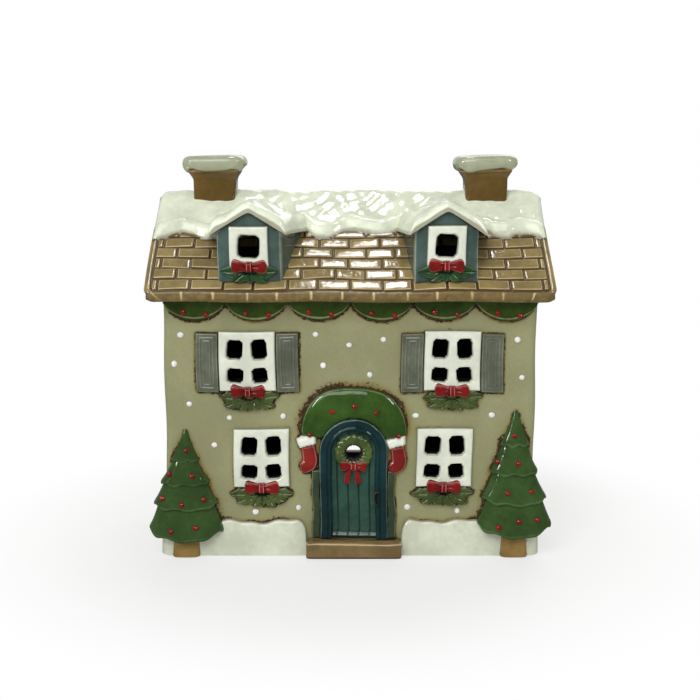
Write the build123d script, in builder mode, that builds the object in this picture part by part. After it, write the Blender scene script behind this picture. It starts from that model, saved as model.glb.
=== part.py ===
"""Ceramic Christmas village house that holds a tealight.

A room of clay slabs under a tiled roof with two dormers and two chimneys, with the windows, door,
garlands, trees and snow applied to it in relief. Millimetres, +Z up, the front faces -Y, and the
origin is the centre of the base.
"""
import os
from math import atan, ceil, cos, degrees, radians, sin, tan

from build123d import *

os.makedirs("parts", exist_ok=True)

# Body: slabs of clay, butted at the corners
body_width = 158.0
body_depth = 82.0
wall_thickness = 5.0
floor_thickness = 5.0
corner_radius = 3.0
overrun = 2.0

# Windows: a frame round four panes, two storeys of them
window_width = 24.2
window_height = 25.8
window_border = 3.5
glazing_bar = 3.5
rail_drop = 1.0
pane_corner = 1.2
frame_relief = 2.0
lower_sill = 30.0
upper_window_shift = 3.9
lower_left_x = -37.8
lower_right_x = 40.4
storey_band = 7.6
lintel_gap = 4.0

# Shutters beside the upper windows
shutter_width = 9.8
shutter_height = 25.6
shutter_drop = 0.7
shutter_relief = 1.8
panel_border = 1.5
panel_line = 0.8
panel_depth = 0.5

# Bows and holly below every window
bow_width = 15.2
bow_height = 7.0
bow_waist = 2.6
bow_relief = 2.2
bow_inset = 0.8
bow_loop_shares = [(0.27, 0.5), (0.44, 0.5), (0.5, 0.25)]
bow_lift = 0.2
knot_width = 3.4
knot_height = 4.0
knot_relief = 2.8
holly_reach = 13.5
holly_drop = 8.5
leaf_width = 4.8
leaf_side_shares = [(0.3, 0.5), (0.7, 0.4)]
leaf_relief = 1.5
stalk_radius = 2.0
leaf_angles = [-170, -148, -118, -90, -62, -32, -10]
leaf_reach_shares = [1.0, 0.88, 0.66, 0.62, 0.66, 0.88, 1.0]
leaf_relief_shares = [1.0, 0.75, 0.9, 0.65, 0.9, 0.75, 1.0]

# Eave garland
swag_count = 6
swag_drop = 10.4
garland_band = 2.6
garland_relief = 2.5
swag_inset = 0.9
garland_gap = 0.6
berry_radius = 1.3
berry_relief = 1.2
berry_crown_share = 0.55
stud_sides = 6
swag_berry_shares = [(-0.16, 0.62), (0.2, 0.72)]

# Roof: two slabs that meet at the ridge, with raised tiles
roof_pitch = 38.0
roof_thickness = 4.7
eave_overhang = 5.5
verge_overhang = 6.5
first_course = 1.7
course_height = 6.5
tile_length = 13.3
tile_joint = 0.9
tile_relief = 0.8
verge_margin = 2.0

# Snow on the roof, with a wavy lower edge
snow_thickness = 3.4
ridge_radius = 6.0
snow_edge_shares = [
    (-0.5, 0.52), (-0.425, 0.59), (-0.36, 0.52), (-0.24, 0.55), (-0.12, 0.62), (-0.068, 0.525),
    (-0.005, 0.615), (0.06, 0.56), (0.125, 0.61), (0.24, 0.56), (0.35, 0.62), (0.385, 0.535),
    (0.42, 0.565), (0.46, 0.535), (0.5, 0.525),
]

# Chimneys that straddle the ridge
chimney_x = 60.2
chimney_width = 18.8
chimney_depth = 15.0
chimney_height = 12.4
chimney_flare = 2.0
flare_height = 4.0
cap_overhang = 3.0
cap_thickness = 7.0
cap_corner = 4.0
cap_crown = 3.5
cap_taper = 40.0

# Dormers on the front slope
dormer_left_x = -41.8
dormer_right_x = 40.2
dormer_front = 45.0
dormer_width = 26.2
dormer_wall_height = 22.2
dormer_gable_height = 8.3
dormer_wall = 5.0
dormer_splay = 4.5
dormer_snow_thickness = 4.5
dormer_snow_side = 2.4
dormer_snow_front = 2.0
dormer_window_width = 16.4
dormer_window_height = 16.8
dormer_window_border = 3.4
dormer_window_gap = 0.8
dormer_leaf_share = 0.9
roof_light_length = 15.0

# Door with its arch, wreath and step
door_x = 1.6
door_width = 18.0
door_leg = 38.5
door_relief = 1.2
plank_count = 4
plank_groove = 0.8
plank_depth = 0.5
door_frame_width = 5.8
door_frame_relief = 3.0
jamb_width = 3.2
jamb_relief = 2.0
arch_garland_width = 45.5
arch_garland_rise = 13.4
arch_garland_hang = 6.2
arch_garland_relief = 3.4
arch_garland_inset = 1.4
arch_berry_angles = [22, 62, 90, 118, 158]
arch_berry_share = 0.4
wreath_gap = 1.0
wreath_hole = 6.3
wreath_relief = 2.2
wreath_inset = 0.9
wreath_bow_width = 11.8
wreath_bow_height = 5.2
wreath_bow_relief = 2.8
wreath_bow_drop = 5.6
tail_length = 8.6
tail_width = 3.0
tail_spread = 2.4
latch_width = 2.8
latch_height = 6.2
latch_relief = 1.2
latch_rise = 19.0
step_width = 41.0
step_depth = 8.0
step_height = 7.0
step_chamfer = 1.2

# Stockings hung from the ends of the arch garland
stocking_width = 9.2
stocking_height = 15.6
stocking_relief = 2.6
left_stocking_out = 5.2
right_stocking_out = 3.1
jamb_stop_share = 0.9
stocking_shares = [
    (-0.32, -0.06), (0.25, 0.0), (0.42, -0.24), (0.5, -0.5), (0.44, -0.84), (0.2, -0.98),
    (-0.34, -1.0), (-0.46, -0.86), (-0.2, -0.66), (-0.2, -0.4), (-0.5, -0.26),
]

# Fir trees at the front corners
left_tree_height = 48.4
left_tree_width = 34.3
left_tree_foot = 6.7
left_tree_gap = 2.8
left_trunk_width = 11.2
right_tree_height = 55.1
right_tree_width = 33.9
right_tree_foot = 8.9
right_tree_gap = 0.4
right_trunk_width = 9.4
tree_relief = 9.0
tier_inset = 2.6
tree_sag = 2.0
tier_overlap = 4.0
trunk_relief = 6.0
tier_bottom_shares = [0.29, 0.5, 0.72, 1.0]
tier_width_shares = [0.36, 0.62, 0.84, 1.0]
tier_crown_shares = [0.12, 0.3, 0.36, 0.42]
tier_relief_shares = [0.6, 0.74, 0.88, 1.0]
tier_berry_shares = [0.0, -0.2, 0.22, -0.2]

# Snow drifts along the foot of the front wall, and dots of falling snow on it
drift_height = 16.0
drift_thickness = 3.0
drift_wrap = 24.0
drift_end = 5.0
drift_shares = [0.8, 0.92, 0.84, 1.0, 0.88, 0.98, 0.92]
dot_radius = 1.15
dot_relief = 0.6
dot_crown_share = 0.6

# Mouth in the rear wall, and the tealight
mouth_width = 48.0
mouth_sill = 26.0
mouth_leg = 26.0
tealight_diameter = 38.0
tealight_height = 16.0
tealight_gap = 1.0
cup_wall = 0.5
wax_height = 12.5
wick_diameter = 1.6
wick_height = 6.0

# Storeys: what follows from the sizes above
pitch = radians(roof_pitch)
half_width = body_width / 2
half_depth = body_depth / 2
upper_window_x = half_width / 2 + upper_window_shift
lower_top = lower_sill + window_height
upper_sill = lower_top + storey_band + holly_drop
upper_top = upper_sill + window_height
garland_foot = upper_top + lintel_gap
garland_top = garland_foot + swag_drop
wall_height = garland_top + garland_gap + garland_relief * tan(pitch)

roof_length = body_width + 2 * verge_overhang
eave_depth = half_depth + eave_overhang
eave_bottom = wall_height - eave_overhang * tan(pitch)
slope_depth = eave_depth + roof_thickness * sin(pitch)
slope_bottom = eave_bottom + roof_thickness * cos(pitch)
slope_length = slope_depth / cos(pitch)
ridge_under = wall_height + half_depth * tan(pitch)
ridge_top = ridge_under + roof_thickness / cos(pitch)

front_face = Plane.XZ.offset(half_depth)
bow_face = front_face.offset(frame_relief)
dormer_face = Plane.XZ.offset(dormer_front)
front_slope = Plane((0, -slope_depth, slope_bottom), x_dir=(1, 0, 0), z_dir=(0, -sin(pitch), cos(pitch)))
rear_slope = Plane((0, slope_depth, slope_bottom), x_dir=(-1, 0, 0), z_dir=(0, sin(pitch), cos(pitch)))

windows = {
    "upper_left": (-upper_window_x, upper_sill),
    "upper_right": (upper_window_x, upper_sill),
    "lower_left": (lower_left_x, lower_sill),
    "lower_right": (lower_right_x, lower_sill),
}
dormers = {"left": dormer_left_x, "right": dormer_right_x}
chimneys = {"left": -chimney_x, "right": chimney_x}


def keep(name, part):
    """Label a finished piece and write its file."""
    part.label = name
    export_step(part, f"parts/{name}.step")
    return part


def raised(face, outline, relief, inset):
    """Piece in relief on a face: the outline at its foot, drawn in by the inset at its front."""
    with BuildPart() as blank:
        with BuildSketch():
            add(outline)
        extrude(amount=relief, taper=degrees(atan(inset / relief)))
    with BuildPart() as piece:
        with Locations(face):
            add(blank.part)
    return piece.part


def arcs(points):
    """Line through the points, with one arc through each point of an odd place and its two neighbours."""
    for start, middle, end in zip(points[::2], points[1::2], points[2::2]):
        ThreePointArc(start, middle, end)


def roof_wedge(lift):
    """Section of all that lies below the slopes when they are lifted square to themselves."""
    run = slope_depth + lift * sin(pitch)
    foot = slope_bottom + lift * cos(pitch)
    with BuildSketch() as wedge:
        with BuildLine():
            Polyline((-run, foot), (0, ridge_top + lift / cos(pitch)), (run, foot), close=True)
        make_face()
    return wedge.sketch


slab_wedge = roof_wedge(0)
tile_wedge = roof_wedge(tile_relief)


# Window panes, drawn once round the middle of a window for the wall and for the frame
pane_width = (window_width - 2 * window_border - glazing_bar) / 2
upper_pane = (window_height - glazing_bar) / 2 - window_border + rail_drop
lower_pane = (window_height - glazing_bar) / 2 - window_border - rail_drop
with BuildSketch() as panes:
    for middle, height in (
        ((glazing_bar + upper_pane) / 2 - rail_drop, upper_pane),
        (-(glazing_bar + lower_pane) / 2 - rail_drop, lower_pane),
    ):
        with Locations((0, middle)):
            with GridLocations(pane_width + glazing_bar, height, 2, 1):
                Rectangle(pane_width, height)
    chamfer(panes.vertices(), pane_corner)

# Door outlines: an arch on straight legs that stand on the doorstep
arch_centre = step_height + door_leg
arch_radius = door_width / 2 + door_frame_width


def arch_outline(radius):
    """Door-shaped face of the given half width, with its foot on the doorstep."""
    with BuildSketch() as arch:
        with BuildLine():
            Polyline(
                (door_x - radius, arch_centre),
                (door_x - radius, step_height),
                (door_x + radius, step_height),
                (door_x + radius, arch_centre),
            )
            RadiusArc((door_x + radius, arch_centre), (door_x - radius, arch_centre), -radius)
        make_face()
    return arch.sketch


door_opening = arch_outline(door_width / 2)
door_outer = arch_outline(arch_radius)

# Stocking outlines: both toes point to the left, and the cuffs meet the ends of the arch garland
garland_end = arch_centre + arch_garland_hang


def stocking_outline(middle):
    """Stocking face that hangs below the end of the arch garland."""
    points = [
        (middle + across * stocking_width, garland_end + down * stocking_height)
        for across, down in reversed(stocking_shares)
    ]
    with BuildSketch() as stocking:
        with BuildLine():
            Polyline(*points, close=True)
        make_face()
    return stocking.sketch


stocking_middles = {
    "left": door_x - arch_radius - left_stocking_out,
    "right": door_x + arch_radius + right_stocking_out,
}
stockings = {name: stocking_outline(middle) for name, middle in stocking_middles.items()}

# Floor and walls
with BuildPart() as floor_slab:
    with BuildSketch():
        Rectangle(body_width - 2 * wall_thickness, body_depth - 2 * wall_thickness)
    extrude(amount=floor_thickness)
keep("floor_slab", floor_slab.part)


def long_wall(side):
    """Front (-1) or rear (1) wall, whose top follows the underside of the roof."""
    with BuildPart() as wall:
        with BuildSketch(Plane.YZ):
            with BuildLine():
                Polyline(
                    (side * half_depth, 0),
                    (side * half_depth, wall_height),
                    (side * (half_depth - wall_thickness), wall_height + wall_thickness * tan(pitch)),
                    (side * (half_depth - wall_thickness), 0),
                    close=True,
                )
            make_face()
        extrude(amount=half_width, both=True)
        outer_corners = wall.edges().filter_by(Axis.Z).sort_by(Axis.Y)
        fillet(outer_corners[:2] if side < 0 else outer_corners[-2:], corner_radius)
    return wall.part


with BuildPart() as front_wall:
    add(long_wall(-1))
    for x, sill in windows.values():
        with BuildSketch(front_face):
            with Locations((x, sill + window_height / 2)):
                add(panes.sketch)
        extrude(amount=-wall_thickness - overrun, mode=Mode.SUBTRACT)
    with BuildSketch(front_face):
        with Locations((door_x, arch_centre)):
            Circle(wreath_hole / 2)
    extrude(amount=-wall_thickness - overrun, mode=Mode.SUBTRACT)
keep("front_wall", front_wall.part)

with BuildPart() as rear_wall:
    add(long_wall(1))
    with BuildSketch(Plane.XZ.offset(-half_depth - overrun)):
        with Locations((0, mouth_sill + mouth_leg / 2)):
            Rectangle(mouth_width, mouth_leg)
        with Locations((0, mouth_sill + mouth_leg)):
            Circle(mouth_width / 2)
    extrude(amount=wall_thickness + 2 * overrun, mode=Mode.SUBTRACT)
keep("rear_wall", rear_wall.part)

gable_depth = half_depth - wall_thickness
gable_eave = wall_height + wall_thickness * tan(pitch)
for name, start in (("left", -half_width), ("right", half_width - wall_thickness)):
    with BuildPart() as gable_wall:
        with BuildSketch(Plane.YZ.offset(start)):
            with BuildLine():
                Polyline(
                    (-gable_depth, 0),
                    (-gable_depth, gable_eave),
                    (0, ridge_under),
                    (gable_depth, gable_eave),
                    (gable_depth, 0),
                    close=True,
                )
            make_face()
        extrude(amount=wall_thickness)
    keep(f"{name}_gable_wall", gable_wall.part)

# Chimneys and their caps of snow
stack_foot = ridge_top - chimney_depth / 2 * tan(pitch) - overrun
stack_top = ridge_top + chimney_height
cap_width = chimney_width + 2 * (chimney_flare + cap_overhang)
cap_depth = chimney_depth + 2 * (chimney_flare + cap_overhang)
chimney_parts = {}
for name, x in chimneys.items():
    with BuildPart() as chimney:
        with BuildSketch(Plane.XY.offset(stack_foot)):
            with Locations((x, 0)):
                Rectangle(chimney_width, chimney_depth)
        extrude(amount=stack_top - flare_height - stack_foot)
        flare = degrees(atan(chimney_flare / flare_height))
        extrude(chimney.faces().sort_by(Axis.Z)[-1], amount=flare_height, taper=-flare)
        with BuildSketch(Plane.YZ):
            add(slab_wedge)
        extrude(amount=roof_length, both=True, mode=Mode.SUBTRACT)
    chimney_parts[name] = keep(f"{name}_chimney", chimney.part)

    with BuildPart() as chimney_snow:
        with BuildSketch(Plane.XY.offset(stack_top)) as outline:
            with Locations((x, 0)):
                Rectangle(cap_width, cap_depth)
            chamfer(outline.vertices(), cap_corner)
        extrude(amount=cap_thickness - cap_crown)
        extrude(chimney_snow.faces().sort_by(Axis.Z)[-1], amount=cap_crown, taper=cap_taper)
    keep(f"{name}_chimney_snow", chimney_snow.part)

# Dormers: a gabled box whose sides splay towards the ridge, hollow and open below
dormer_foot = ridge_top - dormer_front * tan(pitch)
dormer_eave = dormer_foot + dormer_wall_height
dormer_apex = dormer_eave + dormer_gable_height
gable_slope = dormer_gable_height / (dormer_width / 2)
gable_secant = (1 + gable_slope**2) ** 0.5
window_top = dormer_apex - dormer_window_width / 2 * gable_slope - dormer_window_gap
window_sill = window_top - dormer_window_height
window_middle = window_top - dormer_window_height / 2
opening_width = dormer_window_width - 2 * dormer_window_border
opening_height = dormer_window_height - 2 * dormer_window_border


def gabled_outline(x, half, apex):
    """Pentagon of the given half width below the gable lines that meet at the apex."""
    with BuildSketch() as outline:
        with BuildLine():
            Polyline(
                (x - half, slope_bottom),
                (x - half, apex - half * gable_slope),
                (x, apex),
                (x + half, apex - half * gable_slope),
                (x + half, slope_bottom),
                close=True,
            )
        make_face()
    return outline.sketch


def snow_outline(x, half):
    """Band of snow that lies on the two gable lines."""
    rise = dormer_snow_thickness * gable_secant
    side = dormer_apex - half * gable_slope
    with BuildSketch() as outline:
        with BuildLine():
            Polyline(
                (x - half, side),
                (x, dormer_apex),
                (x + half, side),
                (x + half, side + rise),
                (x, dormer_apex + rise),
                (x - half, side + rise),
                close=True,
            )
        make_face()
    return outline.sketch


def gabled_block(outline, x, half, front):
    """Outline carried forward from the ridge, above the slab, with sides that splay to the rear."""
    with BuildPart() as block:
        with BuildSketch(Plane.XZ):
            add(outline)
        extrude(amount=front)
        for side in (-1, 1):
            foot = (x + side * (half + dormer_splay), 0, 0)
            cheek = Plane(foot, x_dir=(0, 0, 1), z_dir=(side * dormer_front, -dormer_splay, 0))
            split(bisect_by=cheek, keep=Keep.BOTTOM)
        with BuildSketch(Plane.YZ):
            add(slab_wedge)
        extrude(amount=roof_length, both=True, mode=Mode.SUBTRACT)
    return block.part


def dormer_block(x, side):
    """Solid dormer that reaches this far beyond the dormer's own side walls."""
    half = dormer_width / 2 + side
    return gabled_block(gabled_outline(x, half + dormer_splay, dormer_apex), x, half, dormer_front)


dormer_sheltered = {}
dormer_snow_parts = {}
for name, x in dormers.items():
    dormer_sheltered[name] = dormer_block(x, dormer_snow_side)
    whole_dormer = dormer_block(x, 0)
    hollow = gabled_outline(x, dormer_width / 2 - dormer_wall, dormer_apex - dormer_wall * gable_secant)
    with BuildPart() as dormer:
        add(whole_dormer)
        with BuildSketch(Plane.XZ.offset(dormer_front - dormer_wall)):
            add(hollow)
        extrude(amount=-dormer_front, mode=Mode.SUBTRACT)
        with BuildSketch(dormer_face):
            with Locations((x, window_middle)):
                Rectangle(opening_width, opening_height)
        extrude(amount=-dormer_wall - overrun, mode=Mode.SUBTRACT)
    keep(f"{name}_dormer", dormer.part)

    snow_half = dormer_width / 2 + dormer_snow_side
    snow_front = dormer_front + dormer_snow_front
    snow_block = gabled_block(snow_outline(x, snow_half + dormer_splay), x, snow_half, snow_front)
    with BuildPart() as dormer_snow:
        add(snow_block)
        add(chimney_parts[name], mode=Mode.SUBTRACT)
    dormer_snow_parts[name] = keep(f"{name}_dormer_snow", dormer_snow.part)

    with BuildPart() as dormer_window:
        with BuildSketch(dormer_face):
            with Locations((x, window_middle)):
                Rectangle(dormer_window_width, dormer_window_height)
                Rectangle(opening_width, opening_height, mode=Mode.SUBTRACT)
        extrude(amount=frame_relief)
    keep(f"{name}_dormer_window", dormer_window.part)

# Snow that covers the upper part of both slopes; tiles show below its edge
with BuildSketch() as snow_cover:
    with BuildLine():
        edge = [(u * roof_length, v * slope_length) for u, v in snow_edge_shares]
        arcs(edge)
        Polyline(edge[-1], (roof_length / 2, slope_length), (-roof_length / 2, slope_length), edge[0])
    make_face()

snow_low = slope_length * min(share for _, share in snow_edge_shares) - overrun
with BuildSketch() as bare_slope:
    with Locations((0, slope_length / 2)):
        Rectangle(roof_length + 2 * overrun, slope_length)
    add(snow_cover.sketch, mode=Mode.SUBTRACT)

band_foot = slope_bottom + snow_low * sin(pitch)
with BuildPart() as roof_snow:
    with BuildSketch(Plane.YZ) as section:
        add(roof_wedge(snow_thickness))
        fillet(section.vertices().sort_by(Axis.Y)[-1], ridge_radius)
        add(slab_wedge, mode=Mode.SUBTRACT)
        with Locations((0, band_foot / 2)):
            Rectangle(2 * slope_depth + 2 * roof_thickness, band_foot, mode=Mode.SUBTRACT)
    extrude(amount=roof_length / 2, both=True)
    for slope in (front_slope, rear_slope):
        with BuildSketch(slope):
            add(bare_slope.sketch)
        extrude(amount=snow_thickness + overrun, mode=Mode.SUBTRACT)
    for piece in [*chimney_parts.values(), *dormer_sheltered.values(), *dormer_snow_parts.values()]:
        add(piece, mode=Mode.SUBTRACT)
keep("roof_snow", roof_snow.part)

# Roof slabs with a rounded eave lip and courses of tiles in running bond
snow_high = slope_length * max(share for _, share in snow_edge_shares)
course_count = ceil((snow_high - first_course) / course_height)
tiles_per_course = ceil(roof_length / tile_length) + 1
with BuildSketch() as tiles:
    for course in range(course_count):
        bond = tile_length / 2 * (course % 2)
        with Locations((bond, first_course + (course + 1 / 2) * course_height)):
            with GridLocations(tile_length, course_height, tiles_per_course, 1):
                Rectangle(tile_length - tile_joint, course_height - tile_joint)
    with Locations((0, slope_length / 2)):
        Rectangle(roof_length - 2 * verge_margin, slope_length, mode=Mode.INTERSECT)
    add(snow_cover.sketch, mode=Mode.SUBTRACT)


def up_slope(depth):
    """Distance up the slope of a point that lies this far in front of the ridge."""
    return (slope_depth - depth) / cos(pitch)


with BuildSketch() as front_tiles:
    add(tiles.sketch)
    for x in dormers.values():
        with BuildLine():
            half = dormer_width / 2
            Polyline(
                (x - half, up_slope(dormer_front)),
                (x + half, up_slope(dormer_front)),
                (x + half + dormer_splay, slope_length),
                (x - half - dormer_splay, slope_length),
                close=True,
            )
        make_face(mode=Mode.SUBTRACT)


def roof_slab(side):
    """Front (-1) or rear (1) slab from the ridge to its rounded eave lip, without tiles."""
    nose_depth = (eave_depth + slope_depth + roof_thickness * cos(pitch)) / 2
    nose_height = (eave_bottom + slope_bottom - roof_thickness * sin(pitch)) / 2
    with BuildPart() as slab:
        with BuildSketch(Plane.YZ):
            with BuildLine():
                Line((0, ridge_under), (side * eave_depth, eave_bottom))
                ThreePointArc(
                    (side * eave_depth, eave_bottom),
                    (side * nose_depth, nose_height),
                    (side * slope_depth, slope_bottom),
                )
                Polyline((side * slope_depth, slope_bottom), (0, ridge_top), (0, ridge_under))
            make_face()
        extrude(amount=roof_length / 2, both=True)
    return slab.part


light_width = dormer_width - 2 * dormer_wall
light_middle = up_slope(dormer_front - dormer_wall) + roof_light_length / 2
with BuildPart() as front_roof:
    add(roof_slab(-1))
    with BuildSketch(front_slope):
        add(front_tiles.sketch)
    extrude(amount=tile_relief)
    with BuildSketch(front_slope):
        with Locations(*[(x, light_middle) for x in dormers.values()]):
            Rectangle(light_width, roof_light_length)
    extrude(amount=-roof_thickness - overrun, mode=Mode.SUBTRACT)
    for piece in dormer_snow_parts.values():
        add(piece, mode=Mode.SUBTRACT)
keep("front_roof", front_roof.part)

with BuildPart() as rear_roof:
    add(roof_slab(1))
    with BuildSketch(rear_slope):
        add(tiles.sketch)
    extrude(amount=tile_relief)
keep("rear_roof", rear_roof.part)


# Window frames, shutters, bows and holly
def bow_outline(x, z, width, height):
    """Two loops that widen from a narrow waist at x, z."""
    loop = [(0, -bow_waist / 2), *[(across * width, -up * height) for across, up in bow_loop_shares]]
    right = loop + [(across, -up) for across, up in reversed(loop)]
    left = [(-across, up) for across, up in reversed(right[1:-1])]
    with BuildSketch() as loops:
        with BuildLine():
            Polyline(*[(x + across, z + up) for across, up in right + left], close=True)
        make_face()
    return loops.sketch


def bow(face, x, z, width, height, relief):
    """Bow of two loops and a knot, laid on a face with its middle at x, z."""
    loops = raised(face, bow_outline(x, z, width, height), relief, bow_inset)
    with BuildPart() as ribbon:
        add(loops)
        with BuildSketch(face):
            with Locations((x, z)):
                Rectangle(knot_width, knot_height)
        extrude(amount=relief + knot_relief - bow_relief)
    return ribbon.part


def leaf_outline(length):
    """Pointed leaf from the stalk at the origin along +X."""
    side = [(along * length, across * leaf_width) for along, across in leaf_side_shares]
    with BuildSketch() as leaf:
        with BuildLine():
            Polyline((0, 0), *side, (length, 0), *[(x, -y) for x, y in reversed(side)], close=True)
        make_face()
    return leaf.sketch


def holly(face, x, z, reach, clear_wedge):
    """Fan of leaves from a stalk below a window whose frame ends at z, cut where the given section lies."""
    leaves = [leaf_outline(reach * share) for share in leaf_reach_shares]
    with BuildPart() as sprig:
        for leaf, angle, relief_share in zip(leaves, leaf_angles, leaf_relief_shares):
            with BuildSketch(face):
                with Locations((x, z)):
                    add(leaf, rotation=angle)
            extrude(amount=leaf_relief * relief_share)
        with BuildSketch(face):
            with Locations((x, z)):
                Circle(stalk_radius)
        extrude(amount=leaf_relief)
        with BuildSketch(face):
            with Locations((x, z + reach / 2)):
                Rectangle(2 * reach + leaf_width, reach)
        extrude(amount=leaf_relief + overrun, mode=Mode.SUBTRACT)
        if clear_wedge:
            with BuildSketch(Plane.YZ):
                add(clear_wedge)
            extrude(amount=roof_length, both=True, mode=Mode.SUBTRACT)
    return sprig.part


for name, (x, sill) in windows.items():
    with BuildPart() as window:
        with BuildSketch(front_face):
            with Locations((x, sill + window_height / 2)):
                Rectangle(window_width, window_height)
                add(panes.sketch, mode=Mode.SUBTRACT)
        extrude(amount=frame_relief)
    keep(f"{name}_window", window.part)
    keep(f"{name}_bow", bow(bow_face, x, sill + bow_lift, bow_width, bow_height, bow_relief))
    keep(f"{name}_holly", holly(front_face, x, sill - shutter_drop, holly_reach, None))

for name, x in dormers.items():
    face = dormer_face.offset(frame_relief)
    keep(f"{name}_dormer_bow", bow(face, x, window_sill + bow_lift, bow_width, bow_height, bow_relief))
    sprig = holly(dormer_face, x, window_sill, holly_reach * dormer_leaf_share, tile_wedge)
    keep(f"{name}_dormer_holly", sprig)

shutter_offset = (window_width + shutter_width) / 2
for name, middle in (
    ("upper_left_outer", -upper_window_x - shutter_offset),
    ("upper_left_inner", -upper_window_x + shutter_offset),
    ("upper_right_inner", upper_window_x - shutter_offset),
    ("upper_right_outer", upper_window_x + shutter_offset),
):
    with BuildPart() as shutter:
        with BuildSketch(front_face):
            with Locations((middle, upper_sill - shutter_drop + shutter_height / 2)):
                Rectangle(shutter_width, shutter_height)
        extrude(amount=shutter_relief)
        with BuildSketch(front_face.offset(shutter_relief)):
            with Locations((middle, upper_sill - shutter_drop + shutter_height / 2)):
                for inset in (panel_border, 2 * panel_border):
                    Rectangle(shutter_width - 2 * inset, shutter_height - 2 * inset)
                    line_inset = inset + panel_line
                    Rectangle(
                        shutter_width - 2 * line_inset, shutter_height - 2 * line_inset, mode=Mode.SUBTRACT
                    )
        extrude(amount=-panel_depth, mode=Mode.SUBTRACT)
    keep(f"{name}_shutter", shutter.part)

# Eave garland: swags that hang from one band under the eave
swag_width = body_width / swag_count
swag_middles = [(swag + 1 / 2) * swag_width - half_width for swag in range(swag_count)]
swags = []
for middle in swag_middles:
    with BuildSketch() as outline:
        with BuildLine():
            left_end = (middle - swag_width / 2, garland_top)
            right_end = (middle + swag_width / 2, garland_top)
            ThreePointArc(left_end, (middle, garland_foot), right_end)
            Line(right_end, left_end)
        make_face()
    swags.append(raised(front_face, outline.sketch, garland_relief, swag_inset))
with BuildPart() as eave_garland:
    with BuildSketch(front_face):
        with Locations((0, garland_top - garland_band / 2)):
            Rectangle(body_width, garland_band)
    extrude(amount=garland_relief / 2)
    for swag in swags:
        add(swag)
keep("eave_garland", eave_garland.part)

# Doorstep, door, frame and jambs
with BuildPart() as doorstep:
    with BuildSketch(front_face):
        with Locations((door_x, step_height / 2)):
            Rectangle(step_width, step_height)
    extrude(amount=step_depth)
    chamfer(doorstep.faces().sort_by(Axis.Y)[0].edges().filter_by(Axis.Z), step_chamfer)
    chamfer(doorstep.faces().sort_by(Axis.Z)[-1].edges().sort_by(Axis.Y)[0], step_chamfer)
keep("doorstep", doorstep.part)

with BuildPart() as door_panel:
    with BuildSketch(front_face):
        add(door_opening)
        with Locations((door_x, arch_centre)):
            Circle(wreath_hole / 2, mode=Mode.SUBTRACT)
    extrude(amount=door_relief)
    plank_top = arch_centre - door_width / 2 + wreath_gap
    with BuildSketch(front_face.offset(door_relief)):
        with Locations((door_x, (step_height + plank_top) / 2)):
            with GridLocations(door_width / plank_count, plank_top, plank_count - 1, 1):
                Rectangle(plank_groove, plank_top - step_height)
    extrude(amount=-plank_depth, mode=Mode.SUBTRACT)
keep("door_panel", door_panel.part)

with BuildPart() as door_frame:
    with BuildSketch(front_face):
        add(door_outer)
        add(door_opening, mode=Mode.SUBTRACT)
        for outline in stockings.values():
            add(outline, mode=Mode.SUBTRACT)
    extrude(amount=door_frame_relief)
keep("door_frame", door_frame.part)

jamb_top = garland_end - jamb_stop_share * stocking_height
with BuildPart() as door_jambs:
    with BuildSketch(front_face):
        for side in (-1, 1):
            middle = door_x + side * (arch_radius + jamb_width / 2)
            with Locations((middle, (step_height + jamb_top) / 2)):
                Rectangle(jamb_width, jamb_top - step_height)
        for outline in stockings.values():
            add(outline, mode=Mode.SUBTRACT)
    extrude(amount=jamb_relief)
keep("door_jambs", door_jambs.part)

# Arch garland: a crescent over the door frame that stops level with the stockings
crescent_radius = arch_garland_width / 2
crescent_centre = arch_centre + arch_radius + arch_garland_rise - crescent_radius
outer_half = (crescent_radius**2 - (garland_end - crescent_centre) ** 2) ** 0.5
inner_half = (arch_radius**2 - (garland_end - arch_centre) ** 2) ** 0.5
with BuildSketch() as crescent:
    with BuildLine():
        ThreePointArc(
            (door_x + outer_half, garland_end),
            (door_x, crescent_centre + crescent_radius),
            (door_x - outer_half, garland_end),
        )
        Line((door_x - outer_half, garland_end), (door_x - inner_half, garland_end))
        ThreePointArc(
            (door_x - inner_half, garland_end),
            (door_x, arch_centre + arch_radius),
            (door_x + inner_half, garland_end),
        )
        Line((door_x + inner_half, garland_end), (door_x + outer_half, garland_end))
    make_face()
arch_garland = raised(front_face, crescent.sketch, arch_garland_relief, arch_garland_inset)
keep("arch_garland", arch_garland)

for name, outline in stockings.items():
    with BuildPart() as stocking:
        with BuildSketch(front_face):
            add(outline)
        extrude(amount=stocking_relief)
    keep(f"{name}_stocking", stocking.part)

# Wreath round the light hole, its bow with two tails, and the latch
panel_face = front_face.offset(door_relief)
wreath_bow_z = arch_centre - wreath_bow_drop
with BuildPart() as wreath_bow:
    add(bow(panel_face, door_x, wreath_bow_z, wreath_bow_width, wreath_bow_height, wreath_bow_relief))
    with BuildSketch(panel_face):
        for side in (-1, 1):
            foot = door_x + side * tail_spread
            with BuildLine():
                Polyline(
                    (door_x, wreath_bow_z),
                    (foot - side * tail_width / 2, wreath_bow_z - tail_length),
                    (foot + side * tail_width / 2, wreath_bow_z - tail_length),
                    (door_x + side * bow_waist / 2, wreath_bow_z),
                    close=True,
                )
            make_face()
    extrude(amount=bow_relief)
keep("wreath_bow", wreath_bow.part)

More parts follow.
